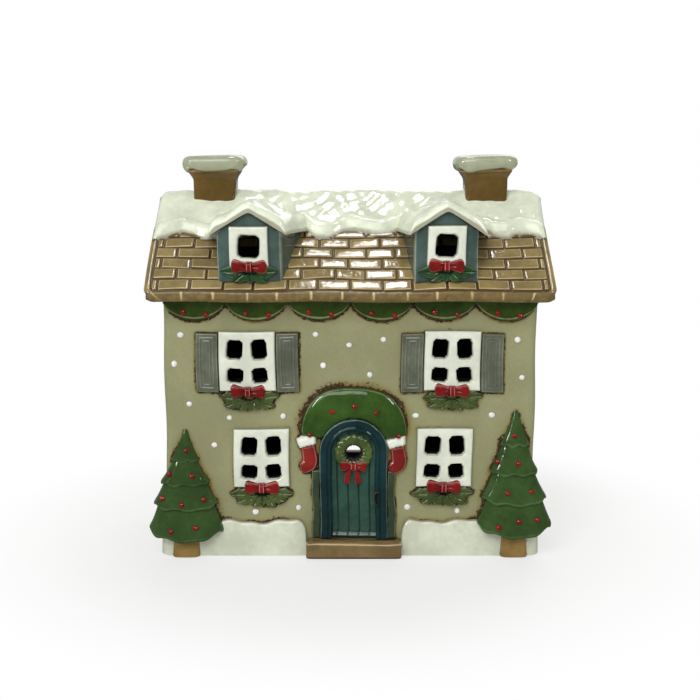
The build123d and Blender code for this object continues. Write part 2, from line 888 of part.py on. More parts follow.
wreath_radius = door_width / 2 - wreath_gap
wreath_plane = Plane((door_x, -half_depth - door_relief, arch_centre), x_dir=(0, -1, 0), z_dir=(1, 0, 0))
with BuildPart() as wreath:
    with BuildSketch(wreath_plane):
        with BuildLine():
            Polyline(
                (0, wreath_hole / 2),
                (0, wreath_radius),
                (wreath_relief, wreath_radius - wreath_inset),
                (wreath_relief, wreath_hole / 2 + wreath_inset),
                close=True,
            )
        make_face()
    revolve(axis=Axis(wreath_plane.origin, wreath_plane.x_dir))
    bow_top = wreath_bow_z + wreath_bow_height / 2
    with BuildSketch(panel_face):
        with Locations((door_x, bow_top - wreath_radius)):
            Rectangle(wreath_bow_width, 2 * wreath_radius)
    extrude(amount=wreath_relief + overrun, mode=Mode.SUBTRACT)
keep("wreath", wreath.part)

with BuildPart() as door_latch:
    with BuildSketch(front_face.offset(door_frame_relief)):
        with Locations((door_x + (door_width + latch_width) / 2, step_height + latch_rise)):
            Rectangle(latch_width, latch_height)
    extrude(amount=latch_relief)
keep("door_latch", door_latch.part)

# Snow drifts from the doorstep round the corners
drift_parts = {}
for name, side in (("left", -1), ("right", 1)):
    corner = side * (half_width + drift_thickness)
    step_side = door_x + side * step_width / 2
    spacing = (step_side - corner) / (len(drift_shares) - 1)
    crest = [(corner + place * spacing, share * drift_height) for place, share in enumerate(drift_shares)]
    with BuildPart() as drift:
        with BuildSketch(front_face):
            with BuildLine():
                arcs(crest)
                Polyline(crest[-1], (step_side, 0), (corner, 0), crest[0])
            make_face()
        extrude(amount=drift_thickness)
        with BuildSketch(Plane((side * half_width, 0, 0), x_dir=(0, side, 0), z_dir=(side, 0, 0))):
            with BuildLine():
                Polyline(
                    (-side * half_depth, 0),
                    (-side * half_depth, drift_shares[0] * drift_height),
                    (-side * (half_depth - drift_wrap), drift_end),
                    (-side * (half_depth - drift_wrap), 0),
                    close=True,
                )
            make_face()
        extrude(amount=drift_thickness)
    drift_parts[name] = keep(f"{name}_snow_drift", drift.part)

# Fir trees: tiers that stand proud of each other from the top down, in front of the drifts
trees = {
    "left": (
        lower_left_x - (window_width + left_tree_width) / 2 - left_tree_gap,
        left_tree_height, left_tree_width, left_tree_foot, left_trunk_width,
    ),
    "right": (
        lower_right_x + (window_width + right_tree_width) / 2 + right_tree_gap,
        right_tree_height, right_tree_width, right_tree_foot, right_trunk_width,
    ),
}
berry_places = []
for name, (x, height, width, foot, trunk_width) in trees.items():
    apex = foot + height
    crown = apex
    tiers = []
    for bottom_share, width_share, crown_share, relief_share, berry_share in zip(
        tier_bottom_shares, tier_width_shares, tier_crown_shares, tier_relief_shares, tier_berry_shares
    ):
        bottom = apex - bottom_share * height
        half = width_share * width / 2
        with BuildSketch() as outline:
            with BuildLine():
                ThreePointArc((x - half, bottom + tree_sag), (x, bottom), (x + half, bottom + tree_sag))
                Polyline(
                    (x + half, bottom + tree_sag),
                    (x + crown_share * half, crown),
                    (x - crown_share * half, crown),
                    (x - half, bottom + tree_sag),
                )
            make_face()
        relief = tree_relief * relief_share
        tiers.append(raised(front_face, outline.sketch, relief, tier_inset * relief_share))
        berry_places.append((x + berry_share * width, bottom + 2 * tier_inset, relief))
        crown = bottom + tier_overlap
    with BuildPart() as tree:
        for tier in tiers:
            add(tier)
        with BuildSketch(front_face):
            with Locations((x, (foot + tier_overlap) / 2)):
                Rectangle(trunk_width, foot + tier_overlap)
        extrude(amount=trunk_relief)
        add(drift_parts[name], mode=Mode.SUBTRACT)
    keep(f"{name}_tree", tree.part)

# Berries on the garlands and the trees
for middle in swag_middles:
    for across, down in swag_berry_shares:
        berry_places.append((middle + across * swag_width, garland_top - down * swag_drop, garland_relief))
for angle in arch_berry_angles:
    reach = arch_radius + arch_berry_share * arch_garland_rise
    berry_places.append(
        (
            door_x + reach * cos(radians(angle)),
            arch_centre + reach * sin(radians(angle)),
            arch_garland_relief,
        )
    )


def stud(radius, relief, crown_share):
    """Small faceted dome that stands on the XY plane."""
    with BuildPart() as dome:
        with BuildSketch():
            RegularPolygon(radius, stud_sides)
        extrude(amount=relief, taper=degrees(atan((1 - crown_share) * radius / relief)))
    return dome.part


berry = stud(berry_radius, berry_relief, berry_crown_share)
with BuildPart(front_face) as berries:
    with Locations(*berry_places):
        add(berry)
keep("berries", berries.part)

# Dots of falling snow, placed by their shares of the bare stretches of wall
shutter_edge = upper_window_x + window_width / 2 + shutter_width
inner_edge = upper_window_x - window_width / 2 - shutter_width
jamb_edge = arch_radius + jamb_width
crescent_top = crescent_centre + crescent_radius
holly_foot = lower_sill - shutter_drop - holly_drop
dot_shares = [
    ((-half_width, -shutter_edge), (upper_sill, upper_top), [(0.54, 0.92), (0.35, 0.44)]),
    ((shutter_edge, half_width), (upper_sill, upper_top), [(0.41, 0.86), (0.56, 0.23)]),
    (
        (-inner_edge, inner_edge),
        (crescent_top, garland_foot),
        [(0.165, 0.79), (0.495, 0.64), (0.24, 0.32), (0.826, 0.73), (0.7, 0.19)],
    ),
    ((-half_width, -shutter_edge), (lower_top, upper_sill), [(0.76, 0.63)]),
    ((-shutter_edge, -crescent_radius), (lower_top, lower_top + storey_band), [(0.32, 0.6), (0.86, 0.66)]),
    ((crescent_radius, shutter_edge), (lower_top, lower_top + storey_band), [(0.12, 0.7), (0.88, 0.75)]),
    (
        (lower_left_x - window_width, lower_left_x - window_width / 2),
        (lower_sill, lower_top),
        [(0.33, 0.71)],
    ),
    ((lower_left_x, door_x - jamb_edge), (drift_height, holly_foot), [(-0.15, 0.6), (0.72, 0.9)]),
    ((door_x + jamb_edge, lower_right_x), (drift_height, holly_foot), [(0.25, 1.0), (1.28, 0.62)]),
]
dot = stud(dot_radius, dot_relief, dot_crown_share)
with BuildPart(front_face) as snow_dots:
    for (left, right), (low, high), places in dot_shares:
        with Locations(*[(left + u * (right - left), low + v * (high - low)) for u, v in places]):
            add(dot)
keep("snow_dots", snow_dots.part)

# Tealight that stands on the floor, close behind the front wall
tealight_y = tealight_gap + tealight_diameter / 2 - half_depth + wall_thickness
cup_floor = floor_thickness + cup_wall
with BuildPart() as tealight_cup:
    with BuildSketch(Plane.XY.offset(floor_thickness)):
        with Locations((0, tealight_y)):
            Circle(tealight_diameter / 2)
    extrude(amount=tealight_height)
    with BuildSketch(Plane.XY.offset(cup_floor)):
        with Locations((0, tealight_y)):
            Circle(tealight_diameter / 2 - cup_wall)
    extrude(amount=tealight_height, mode=Mode.SUBTRACT)
keep("tealight_cup", tealight_cup.part)

with BuildPart() as tealight_wax:
    with BuildSketch(Plane.XY.offset(cup_floor)):
        with Locations((0, tealight_y)):
            Circle(tealight_diameter / 2 - cup_wall)
            Circle(wick_diameter / 2, mode=Mode.SUBTRACT)
    extrude(amount=wax_height)
keep("tealight_wax", tealight_wax.part)

with BuildPart() as tealight_wick:
    with BuildSketch(Plane.XY.offset(cup_floor)):
        with Locations((0, tealight_y)):
            Circle(wick_diameter / 2)
    extrude(amount=wax_height + wick_height)
keep("tealight_wick", tealight_wick.part)
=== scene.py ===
# %% [markdown]
# # A glazed ceramic village house
# This lesson dresses a small clay house, made to stand over a tealight, with the looks of the fired object.
# The solids say where everything is. Here each one gets the soft edges, the hand-painted glazes and the brown
# wash that a potter's piece has. All surfaces are worked out in millimetres and put into the meshes in metres.

import bmesh
import bpy
import numpy as np
from mathutils.bvhtree import BVHTree
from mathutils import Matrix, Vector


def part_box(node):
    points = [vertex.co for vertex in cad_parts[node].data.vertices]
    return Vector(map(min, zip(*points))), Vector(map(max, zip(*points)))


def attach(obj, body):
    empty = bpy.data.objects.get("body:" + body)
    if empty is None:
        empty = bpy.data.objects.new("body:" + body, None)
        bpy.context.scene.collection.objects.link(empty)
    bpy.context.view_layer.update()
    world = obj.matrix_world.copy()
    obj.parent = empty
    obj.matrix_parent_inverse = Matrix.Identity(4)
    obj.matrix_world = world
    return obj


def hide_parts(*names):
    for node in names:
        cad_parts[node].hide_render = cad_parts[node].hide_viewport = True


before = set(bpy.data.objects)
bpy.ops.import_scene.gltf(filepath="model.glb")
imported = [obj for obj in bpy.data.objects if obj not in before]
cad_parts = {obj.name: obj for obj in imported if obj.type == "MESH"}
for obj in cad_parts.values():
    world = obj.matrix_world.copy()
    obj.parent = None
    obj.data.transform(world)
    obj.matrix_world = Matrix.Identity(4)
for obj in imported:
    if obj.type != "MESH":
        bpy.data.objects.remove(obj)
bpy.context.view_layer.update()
rng = np.random.default_rng(12)
MM = 0.001
print("nodes in the frame:", len(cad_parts))

# %% [markdown]
# ## Small curves that shape every piece
# Soft clay has no sharp edges. Three short formulas are enough for all its roundings: a quarter ellipse for
# edges, a bell for ridges and grooves, and a smooth step where one form runs into the next. A bevel modifier
# rounds edges too, but a formula also tells where the glaze will run thin.

# %% Measures and small curves


def span(node):
    """Lowest and highest corner of a node, in millimetres."""
    low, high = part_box(node)
    return np.array(low) / MM, np.array(high) / MM


def ease(q):
    """Quarter ellipse: leaves 0 steeply at q = 0, is level at 1 from q = 1 on."""
    return np.sqrt(1 - (1 - np.clip(q, 0, 1)) ** 2)


def bell(x, width):
    """Bump of height 1 round zero that falls off as exp(-(x / width) squared)."""
    return np.exp(-((x / width) ** 2))


def glide(q):
    """Smooth step from 0 to 1 between q = 0 and q = 1: 3 q squared minus 2 q cubed."""
    q = np.clip(q, 0, 1)
    return q * q * (3 - 2 * q)


def mesh_of(a, b):
    """Two parameters as grids, the first along the rows and the second along the columns."""
    return np.meshgrid(a, b, indexing="ij")


wall_low, wall_high = span("front_wall")
wall_face = wall_low[1]
half_width = wall_high[0]
print("front wall face at y", round(wall_face, 2), "half width", round(half_width, 2))

# %% [markdown]
# ## From grids to closed meshes
# A surface is a grid of points, so its faces follow from the grid alone. Pieces in relief have a front grid and
# a back grid that meet at their borders, and merging those borders closes the mesh. Two numbers go with each
# point. The first says where brown stain collects, and also where shade is painted in: under the eave, in the
# window reveals, under the snow's edge, round the falling snow and on the wreath's inner side. The second says
# where the glaze has run off an edge, and also where a highlight is painted in, as on the tile edges, the eave's
# lip and the hems of the firs. A first number of three marks the unglazed inside, with its shade painted in near
# black. Sculpting by hand would do as well, but a grid can still be changed by a number.

# %% Faces of a grid
# A wash of this value marks the unglazed inside, whose shade is painted in near black.
unglazed_dark_inside = 3.0


def sheet(points, wash=0.0, thin=0.0, wrap_rows=False, wrap_columns=False, keep=None):
    """Faces between neighbouring points of a grid, with the stain and painted shade, and the thinness and
    painted highlight, of each point.
    """
    rows, columns = points.shape[:2]
    index = np.arange(rows * columns).reshape(rows, columns)
    index = np.vstack([index, index[:1]]) if wrap_rows else index
    index = np.hstack([index, index[:, :1]]) if wrap_columns else index
    faces = np.stack([index[:-1, :-1], index[:-1, 1:], index[1:, 1:], index[1:, :-1]], -1)
    faces = faces.reshape(-1, 4) if keep is None else faces[keep]
    looks = [np.broadcast_to(value, (rows, columns)).reshape(-1) for value in (wash, thin)]
    return points.reshape(-1, 3), faces, *looks


def face_middles(grid):
    """Mean of the four corners of each face of a grid."""
    return 0.25 * (grid[1:, 1:] + grid[:-1, 1:] + grid[1:, :-1] + grid[:-1, :-1])


def shell(front, back, keep, wash, thin, inside):
    """Two grids as one wall: kept faces of both, and a rim wherever a kept face has no kept neighbour."""
    rows, columns = front.shape[:2]
    count = rows * columns
    index = np.arange(count).reshape(rows, columns)
    across = np.pad(keep, ((1, 1), (0, 0)))
    r, c = np.nonzero(across[1:] != across[:-1])
    rims = [(index[r, c], index[r, c + 1])]
    upward = np.pad(keep, ((0, 0), (1, 1)))
    r, c = np.nonzero(upward[:, 1:] != upward[:, :-1])
    rims.append((index[r, c], index[r + 1, c]))
    one, two = (np.concatenate(ends) for ends in zip(*rims))
    rim = np.stack([one, two, two + count, one + count], -1)
    outer = sheet(front, wash, thin, keep=keep)
    inner = sheet(back, inside, keep=keep)
    points, *looks = (np.concatenate([outer[k], inner[k]]) for k in (0, 2, 3))
    return points, np.concatenate([outer[1], inner[1] + count, rim]), *looks


print("a grid of 3 by 4 points has", len(sheet(np.zeros((3, 4, 3)))[1]), "faces")

# %% Skins and pillows


def closed_rows(rows):
    """Stack of closed loops with its first and last loop drawn together to a point."""
    ends = [np.broadcast_to(row.mean(0), row.shape)[None] for row in (rows[0], rows[-1])]
    return np.concatenate([ends[0], rows, ends[1]])


def turned(rows, wash=0.0, thin=0.0):
    """Closed skin over a stack of loops."""
    grids = [np.broadcast_to(value, rows.shape[:2]) for value in (wash, thin)]
    grids = [np.vstack([grid[:1], grid, grid[-1:]]) for grid in grids]
    return sheet(closed_rows(rows), *grids, wrap_columns=True)


def relief(x, z, rise, face=wall_face, wash=None, thin=None):
    """Pillow on an upright face: a front that stands out by rise and a back sunk into the face.

    Unless they are given, the wash is a bell at the pillow's foot and the thin glaze one at its shoulder.
    """
    sink, foot_width = 0.6, 0.3
    shoulder, shoulder_width = 0.74, 0.13
    share = rise / rise.max()
    wash = bell(share, foot_width) if wash is None else wash
    thin = bell(share - shoulder, shoulder_width) if thin is None else thin
    front = np.stack([x, face - rise, z], -1)
    back = np.stack([x, face + sink * np.tanh(rise), z], -1)
    return [sheet(front, wash, thin), sheet(back, 1.0)]


print("a stack of 5 loops is closed by", len(closed_rows(np.zeros((5, 8, 3)))) - 5, "more")

# %% [markdown]
# ## From meshes to pieces
# Every piece goes through the same hands: its grids are joined, welded where their borders touch, and faced
# outwards. It then rides on a body of the frame and stands in for the solids that it covers. One function for
# all keeps them closed and alike. A piece with a halo also leaves its footprint on the front wall, where the
# brown wash will collect round it.

# %% One object from several grids
footprints = []
weld = 2e-6


def welded_mesh(name, points, faces, looks, crease):
    """Mesh of four-cornered faces, merged where borders touch, faced outwards and smooth up to an angle."""
    mesh = bpy.data.meshes.new(name)
    mesh.vertices.add(len(points))
    mesh.vertices.foreach_set("co", (points * MM).astype(np.float32).ravel())
    mesh.loops.add(faces.size)
    mesh.loops.foreach_set("vertex_index", faces.astype(np.int32).ravel())
    mesh.polygons.add(len(faces))
    mesh.polygons.foreach_set("loop_start", np.arange(0, faces.size, 4, dtype=np.int32))
    for label, values in looks.items():
        mesh.attributes.new(label, "FLOAT", "POINT").data.foreach_set("value", values.astype(np.float32))
    mesh.update(calc_edges=True)
    cleaner = bmesh.new()
    cleaner.from_mesh(mesh)
    bmesh.ops.remove_doubles(cleaner, verts=cleaner.verts, dist=weld)
    bmesh.ops.recalc_face_normals(cleaner, faces=cleaner.faces)
    cleaner.to_mesh(mesh)
    cleaner.free()
    mesh.polygons.foreach_set("use_smooth", np.ones(len(mesh.polygons), bool))
    mesh.set_sharp_from_angle(angle=np.radians(crease))
    return mesh


def open_edges(mesh):
    """Number of edges that don't have exactly two faces."""
    uses = np.zeros(len(mesh.loops), np.int32)
    mesh.loops.foreach_get("edge_index", uses)
    return int((np.bincount(uses, minlength=len(mesh.edges)) != 2).sum())


def make(name, sheets, finish, nodes, body="house", halo=0.0, crease=60, hand=0.25):
    """One piece from several grids, on its body and in place of its nodes.

    A slow wave of the hand, a sine of the place, shifts all points of the house alike, so that neighbours still
    meet. It fades out towards the foot, which stays flat.
    """
    at_wall, steady_foot = 0.9, 12.0
    points, wash, thin = (np.concatenate([part[k] for part in sheets]) for k in (0, 2, 3))
    points = points.astype(float)
    starts = np.cumsum([0] + [len(part[0]) for part in sheets[:-1]])
    faces = np.concatenate([part[1] + start for part, start in zip(sheets, starts)])
    if halo:
        near = np.abs(points[:, 1] - wall_face) < at_wall
        footprints.append((points[near][:, [0, 2]], halo))
    x, y, z = points.T.copy()
    sway = hand * np.clip(z / steady_foot, 0, 1)
    points[:, 0] += sway * np.sin(0.13 * z + 0.9 * np.sin(0.05 * x))
    points[:, 2] += sway * np.sin(0.11 * x + 0.07 * y)
    mesh = welded_mesh(name, points, faces, {"wash": wash, "thin": thin}, crease)
    mesh.materials.append(finish)
    thing = bpy.data.objects.new(name, mesh)
    bpy.context.scene.collection.objects.link(thing)
    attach(thing, body)
    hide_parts(*nodes)
    print(f"{name}: {len(mesh.polygons)} faces, {open_edges(mesh)} edges not closed")


print("borders nearer than", weld / MM, "mm are merged")

# %% [markdown]
# ## Writing glazes as sums
# A glaze is easier to read as arithmetic than as a web of nodes. One small class wraps an output socket, so
# that a plus or a star between two of them adds the Math node. Everything else comes from its node method.

# %% The socket class


class Wire:
    """An output socket whose sums and products are Math nodes."""

    def __init__(self, tree, socket=None):
        self.tree = tree
        self.socket = socket

    def node(self, kind, settings, inputs, output=0):
        """New node: its settings first, then the values or links of its sockets."""
        made = self.tree.nodes.new(kind)
        for key, value in settings.items():
            setattr(made, key, value)
        for key, value in inputs.items():
            if isinstance(value, Wire):
                self.tree.links.new(value.socket, made.inputs[key])
            else:
                made.inputs[key].default_value = value
        return Wire(self.tree, made.outputs[output])

    def maths(self, operation, one, two=0.0):
        """Math node on one or two values."""
        return self.node("ShaderNodeMath", {"operation": operation}, {0: one, 1: two})

    # Each operator adds one Math node, also where a plain number comes first.
    def __add__(self, other):
        return self.maths("ADD", self, other)

    def __radd__(self, other):
        return self.maths("ADD", other, self)

    def __sub__(self, other):
        return self.maths("SUBTRACT", self, other)

    def __rsub__(self, other):
        return self.maths("SUBTRACT", other, self)

    def __mul__(self, other):
        return self.maths("MULTIPLY", self, other)

    def __rmul__(self, other):
        return self.maths("MULTIPLY", other, self)

    def step(self, low, high):
        """Smooth step of this value from 0 at low to 1 at high."""
        limits = {"Value": self, "From Min": low, "From Max": high}
        return self.node("ShaderNodeMapRange", {"interpolation_type": "SMOOTHSTEP"}, limits)

    def blend(self, low, high):
        """Colour between two colours, by this value."""
        return self.node("ShaderNodeMix", {"data_type": "RGBA"}, {0: self, 6: low, 7: high}, 2)

    def noise(self, place, scale, detail=3.0):
        """Cloudy noise between 0 and 1, with scale as its grains in a metre."""
        return self.node("ShaderNodeTexNoise", {}, {"Vector": place, "Scale": scale, "Detail": detail})

    def parts(self):
        """The three coordinates of a place."""
        split = self.node("ShaderNodeSeparateXYZ", {}, {0: self}).socket.node
        return [Wire(self.tree, socket) for socket in split.outputs]

    def into(self, socket):
        """Links this value to a socket of the shader."""
        self.tree.links.new(self.socket, socket)


def paint(red, green, blue, lift=1.0):
    """Display colour of 0 to 255 as the linear colour that a shader takes."""
    display = np.array([red, green, blue]) / 255
    linear = np.where(display <= 0.04045, display / 12.92, ((display + 0.055) / 1.055) ** 2.4)
    return (*np.clip(linear * lift, 0, 1), 1.0)


def new_finish(name):
    """Material with its shader, a wire to hang nodes on, and the place on the piece that patterns read."""
    material = bpy.data.materials.new(name)
    material.use_nodes = True
    start = Wire(material.node_tree)
    place = start.node("ShaderNodeTexCoord", {}, {}, "Object")
    return material, material.node_tree.nodes["Principled BSDF"], start, place


print("a mid grey of 128 is", round(paint(128, 128, 128)[0], 3), "to a shader")

# %% [markdown]
# ## One recipe for all the glazes
# The house is dipped in clear glaze over painted colours. The colour is never even: it pools darker in places,
# runs thin and pale along edges, and a brown wash was rubbed into every crease and wiped off again. Where the
# grids mark it, the same recipe also paints in shade and highlights. So all the finishes share one recipe, and
# differ in colour and in how strong each of these is. Painted images could show this too, but noise has no seams
# and stays sharp close up.

# %% The recipe
umber = paint(62, 42, 20)
cream = paint(208, 196, 165)
ochre = paint(140, 122, 64)
# Near black: the shade of the house's inside, painted into its colour.
inside_shade_colour = paint(10, 9, 9)


def glaze(
    name, colour, pool=0.75, runs=0.8, brown_strength=1.0, gloss=0.09, wave=0.2, pale=cream, brown=umber, ragged=False
):
    """Painted colour under clear glaze, with cloudy tone, pale edges, brown creases and a wavy surface.

    The tone goes from pool times the colour to a little over it, by a slow noise. Thin glaze, and a painted
    highlight where one is marked, blends it towards pale, as strongly as runs says; stain, and painted shade
    where it is marked, blend it towards brown, by the brown strength; both are broken up by a fine noise. A
    ragged finish has torn strokes of brown in patches, an ochre tinge round them and cream flecks in them. A
    wash above two is the unglazed inside, whose shade is painted near black, and which has no gloss.
    """
    material, shader, start, place = new_finish(name)
    cloud_scale, grain_scale = (42.0, 820.0) if ragged else (75.0, 420.0)
    speck_scale, patch_scale = 1500.0, 85.0
    cloud = start.noise(place, cloud_scale, 4.0)
    grain = start.noise(place, grain_scale, 4.0)
    speck = start.noise(place, speck_scale, 2.0)
    # Two marks per point: brown stain with painted shade, and thin glaze with painted highlight.
    named = [{"attribute_name": label} for label in ("wash", "thin")]
    wash, thin = (start.node("ShaderNodeAttribute", settings, {}, "Fac") for settings in named)
    dark, light = paint(*colour, lift=pool), paint(*colour, lift=1.15)
    tone = (cloud + 0.35 * grain).step(0.45, 0.95).blend(dark, light)
    # Pale where the glaze runs thin, and where a highlight is painted in.
    bare = (thin * (0.35 + cloud + 0.5 * grain)).step(0.45, 1.15) * runs
    tone = bare.blend(tone, pale)
    if ragged:
        tinge = (1.3 * wash + 0.8 * cloud + 0.3 * grain).step(0.62, 1.25) * 0.9
        patches = 0.5 + 0.8 * start.noise(place, patch_scale, 2.0).step(0.38, 0.6)
        browned = (1.5 * patches * wash + 1.9 * grain + 0.5 * cloud).step(1.7, 2.1)
        flecks = speck.step(0.62, 0.7) * browned * 0.6
        tone = flecks.blend(browned.blend(tinge.blend(tone, ochre), brown), cream)
    else:
        # Brown where stain is rubbed in, and where shade is painted in.
        browned = (1.5 * wash + 0.9 * grain + 0.5 * cloud).step(1.15, 1.95) * brown_strength
        tone = browned.blend(tone, brown)
    # The unglazed inside loses its gloss and takes the painted near-black shade.
    dark_inside = wash.step(1.8, 2.6)
    dark_inside.blend(tone, inside_shade_colour).into(shader.inputs["Base Color"])
    (gloss + 0.35 * browned + 0.7 * dark_inside + 0.08 * grain.step(0.4, 0.8)).into(shader.inputs["Roughness"])
    (0.2 - 0.2 * dark_inside).into(shader.inputs["Coat Weight"])
    height = cloud + 0.22 * grain + 0.05 * speck
    relief_sockets = {"Height": height, "Strength": wave, "Distance": 0.0012}
    bump = start.node("ShaderNodeBump", {}, relief_sockets, "Normal")
    bump.into(shader.inputs["Normal"])
    shader.inputs["Specular IOR Level"].default_value = 0.35
    shader.inputs["Coat Roughness"].default_value = 0.04
    print("glaze", name)
    return material


print("the wash is umber:", np.round(umber[:3], 3))

# %% Glazes of the roof and the windows
snow_shade, ribbon_shade = paint(96, 74, 38), paint(58, 14, 10)
# The tiles' pale is thin glaze and a painted highlight on their rounded edges.
tile_glaze = glaze(
    "caramel tile glaze", (154, 135, 88), pool=0.7, runs=0.92, gloss=0.06, wave=0.4,
    pale=paint(212, 194, 146), brown=paint(90, 66, 30),
)
snow_glaze = glaze(
    "snow glaze", (231, 237, 213), pool=0.86, runs=0.2, brown_strength=0.6, gloss=0.08, wave=0.35,
    pale=paint(232, 234, 220), brown=snow_shade,
)
drift_glaze = glaze("drift glaze", (214, 219, 197), pool=0.88, runs=0.2, brown_strength=0.6, brown=snow_shade)
cap_glaze = glaze("chimney snow glaze", (176, 180, 152), pool=0.84, runs=0.2, brown_strength=0.5, gloss=0.06)
# The grey of the falling snow at its foot is a painted shadow ring.
dot_glaze = glaze(
    "falling snow glaze", (236, 238, 232), pool=0.95, runs=0, brown_strength=0.7, brown=paint(128, 124, 118)
)
brick_glaze = glaze("chimney glaze", (108, 84, 42), pale=paint(170, 140, 96))
slate_glaze = glaze("dormer glaze", (78, 97, 91), pool=0.64, runs=0.9, pale=paint(164, 174, 160))
white_glaze = glaze("window white glaze", (223, 227, 210), pool=0.92, runs=0.1, brown_strength=0.7)
cuff_glaze = glaze("cuff white glaze", (242, 247, 230), pool=0.94, runs=0.1, brown_strength=0.5)
shutter_glaze = glaze("shutter glaze", (102, 108, 92), pool=0.7, pale=paint(158, 158, 134), brown_strength=0.9)

# %% Glazes of the ribbons, the greenery and the door
red_glaze = glaze(
    "ribbon red glaze", (132, 26, 26), pool=0.6, runs=0.7, brown_strength=0.6, gloss=0.06,
    pale=paint(222, 150, 138), brown=ribbon_shade,
)
sock_glaze = glaze(
    "stocking red glaze", (142, 41, 36), pool=0.6, runs=0.5, brown_strength=0.6, gloss=0.06,
    pale=paint(226, 160, 148), brown=ribbon_shade,
)
holly_glaze = glaze("holly glaze", (80, 95, 52), pool=0.6, runs=0.4, gloss=0.07, pale=paint(150, 154, 110))
leaf_glaze = glaze("dormer leaf glaze", (46, 82, 46), pool=0.6, runs=0.7, gloss=0.07, pale=paint(170, 172, 128))
swag_glaze = glaze("swag glaze", (53, 74, 25), pool=0.6, runs=0.7, gloss=0.06, pale=paint(176, 174, 130))
arch_glaze = glaze(
    "arch greenery glaze", (61, 92, 35), pool=0.6, runs=0.6, gloss=0.05, pale=paint(190, 192, 150)
)
# The fir's pale is a lighter green: on the hems it paints a soft highlight band, and pales the edges.
fir_glaze = glaze(
    "fir glaze", (62, 88, 45), pool=0.68, runs=0.5, brown_strength=0.55, gloss=0.06, pale=paint(104, 132, 92)
)
wreath_glaze = glaze("wreath glaze", (86, 104, 54), pool=0.45, runs=0.5, gloss=0.06)
berry_glaze = glaze("berry glaze", (146, 30, 26), pool=0.7, runs=0.25, brown_strength=0.7, gloss=0.06)
door_glaze = glaze(
    "door glaze", (52, 84, 71), pool=0.65, runs=0.45, pale=paint(104, 116, 100), brown=paint(14, 26, 28)
)
frame_glaze = glaze(
    "door frame glaze", (25, 55, 58), pool=0.6, runs=0.7, gloss=0.05, pale=paint(150, 164, 148)
)
jamb_glaze = glaze("jamb glaze", (60, 77, 58), pool=0.7, pale=paint(168, 172, 138))
latch_glaze = glaze("latch glaze", (16, 18, 20), runs=0.2)
step_glaze = glaze("step glaze", (128, 107, 70), pale=paint(186, 162, 116))
trunk_glaze = glaze("trunk glaze", (148, 121, 70), pale=paint(190, 160, 112))

# %% [markdown]
# ## The tiled roof
# Each slope is a field of clay tiles in running bond. A tile is thickest at its lower edge, where it laps over
# the course below, and no two lie quite alike. The slope is a grid along the eave and up the roof, and the
# height above it is a formula in those two lengths. The last course rolls over into the eave's lip. Tiles could
# be laid one by one, but the real ones are pressed into a single slab, so a single grid suits them.

# %% Measures of the roof
roof_low, roof_high = span("front_roof")
pitch = np.radians(38)
lip_overhang = 0.9
roof_thickness = 4.7
roof_half, ridge_top = roof_high[0], roof_high[2]
slope_depth = -roof_low[1] - lip_overhang
slope_length = slope_depth / np.cos(pitch)
slope_bottom = ridge_top - slope_depth * np.tan(pitch)
first_course, course, courses, tile = 1.7, 6.5, 6, 13.3
gap, verge_band = 0.7, 3.0
lip_top = first_course - 0.4
lean = rng.normal(size=(32, 32, 2))
front_lobes = np.array([
    (-85.5, 32.0), (-80.0, 33.3), (-72.6, 37.2), (-66.4, 35.2), (-61.4, 32.6), (-50.0, 34.0), (-32.0, 36.0),
    (-19.4, 39.3), (-17.0, 35.2), (-12.3, 33.0), (-7.1, 34.6), (-2.4, 38.5), (2.4, 38.5), (7.6, 36.5),
    (12.8, 35.2), (18.0, 35.9), (22.0, 38.5), (34.0, 35.0), (52.0, 36.5), (59.4, 38.8), (61.6, 35.2),
    (68.8, 33.3), (72.4, 35.5), (77.6, 35.2), (85.5, 32.4),
])
rear_lobes = np.column_stack([np.linspace(-85.5, 85.5, 21), 35 + 2.8 * rng.normal(size=21).clip(-1.2, 1.2)])
print("slope of", round(slope_length, 1), "mm from eave to ridge")

# %% Tiles


def smoothed(line, window, reach):
    """Running mean of a line, weighted by a bell, with the line's ends held."""
    weight = bell(np.arange(-window, window + 1), reach)
    return np.convolve(np.pad(line, window, mode="edge"), weight / weight.sum(), "valid")


def snow_line(lobes, at):
    """Line through the lobes of the snow's edge, with its corners smoothed."""
    margin, reach = 9.0, 1.6
    fine = np.linspace(at.min() - margin, at.max() + margin, 1200)
    line = smoothed(np.interp(fine, *lobes.T), 60, reach / (fine[1] - fine[0]))
    return np.interp(at, fine, line)


def lines_at(joints, spacing):
    """Grid lines that crowd at each joint, with three wider steps between."""
    near = np.array([0.25, 0.45, 0.6, 0.85, 1.3])
    steps = np.r_[0, near, spacing * 0.37, spacing * 0.5, spacing * 0.63, spacing - near[::-1]]
    return (joints[:, None] + steps).ravel()


def on_slope(u, v, h, side):
    """Point at u along the eave, v up the slope and h above it; side -1 is the front and 1 the rear."""
    y = side * (slope_depth - v * np.cos(pitch) + h * np.sin(pitch))
    z = slope_bottom + v * np.sin(pitch) + h * np.cos(pitch)
    return np.stack([u, side * np.maximum(side * y, 0), z], -1)


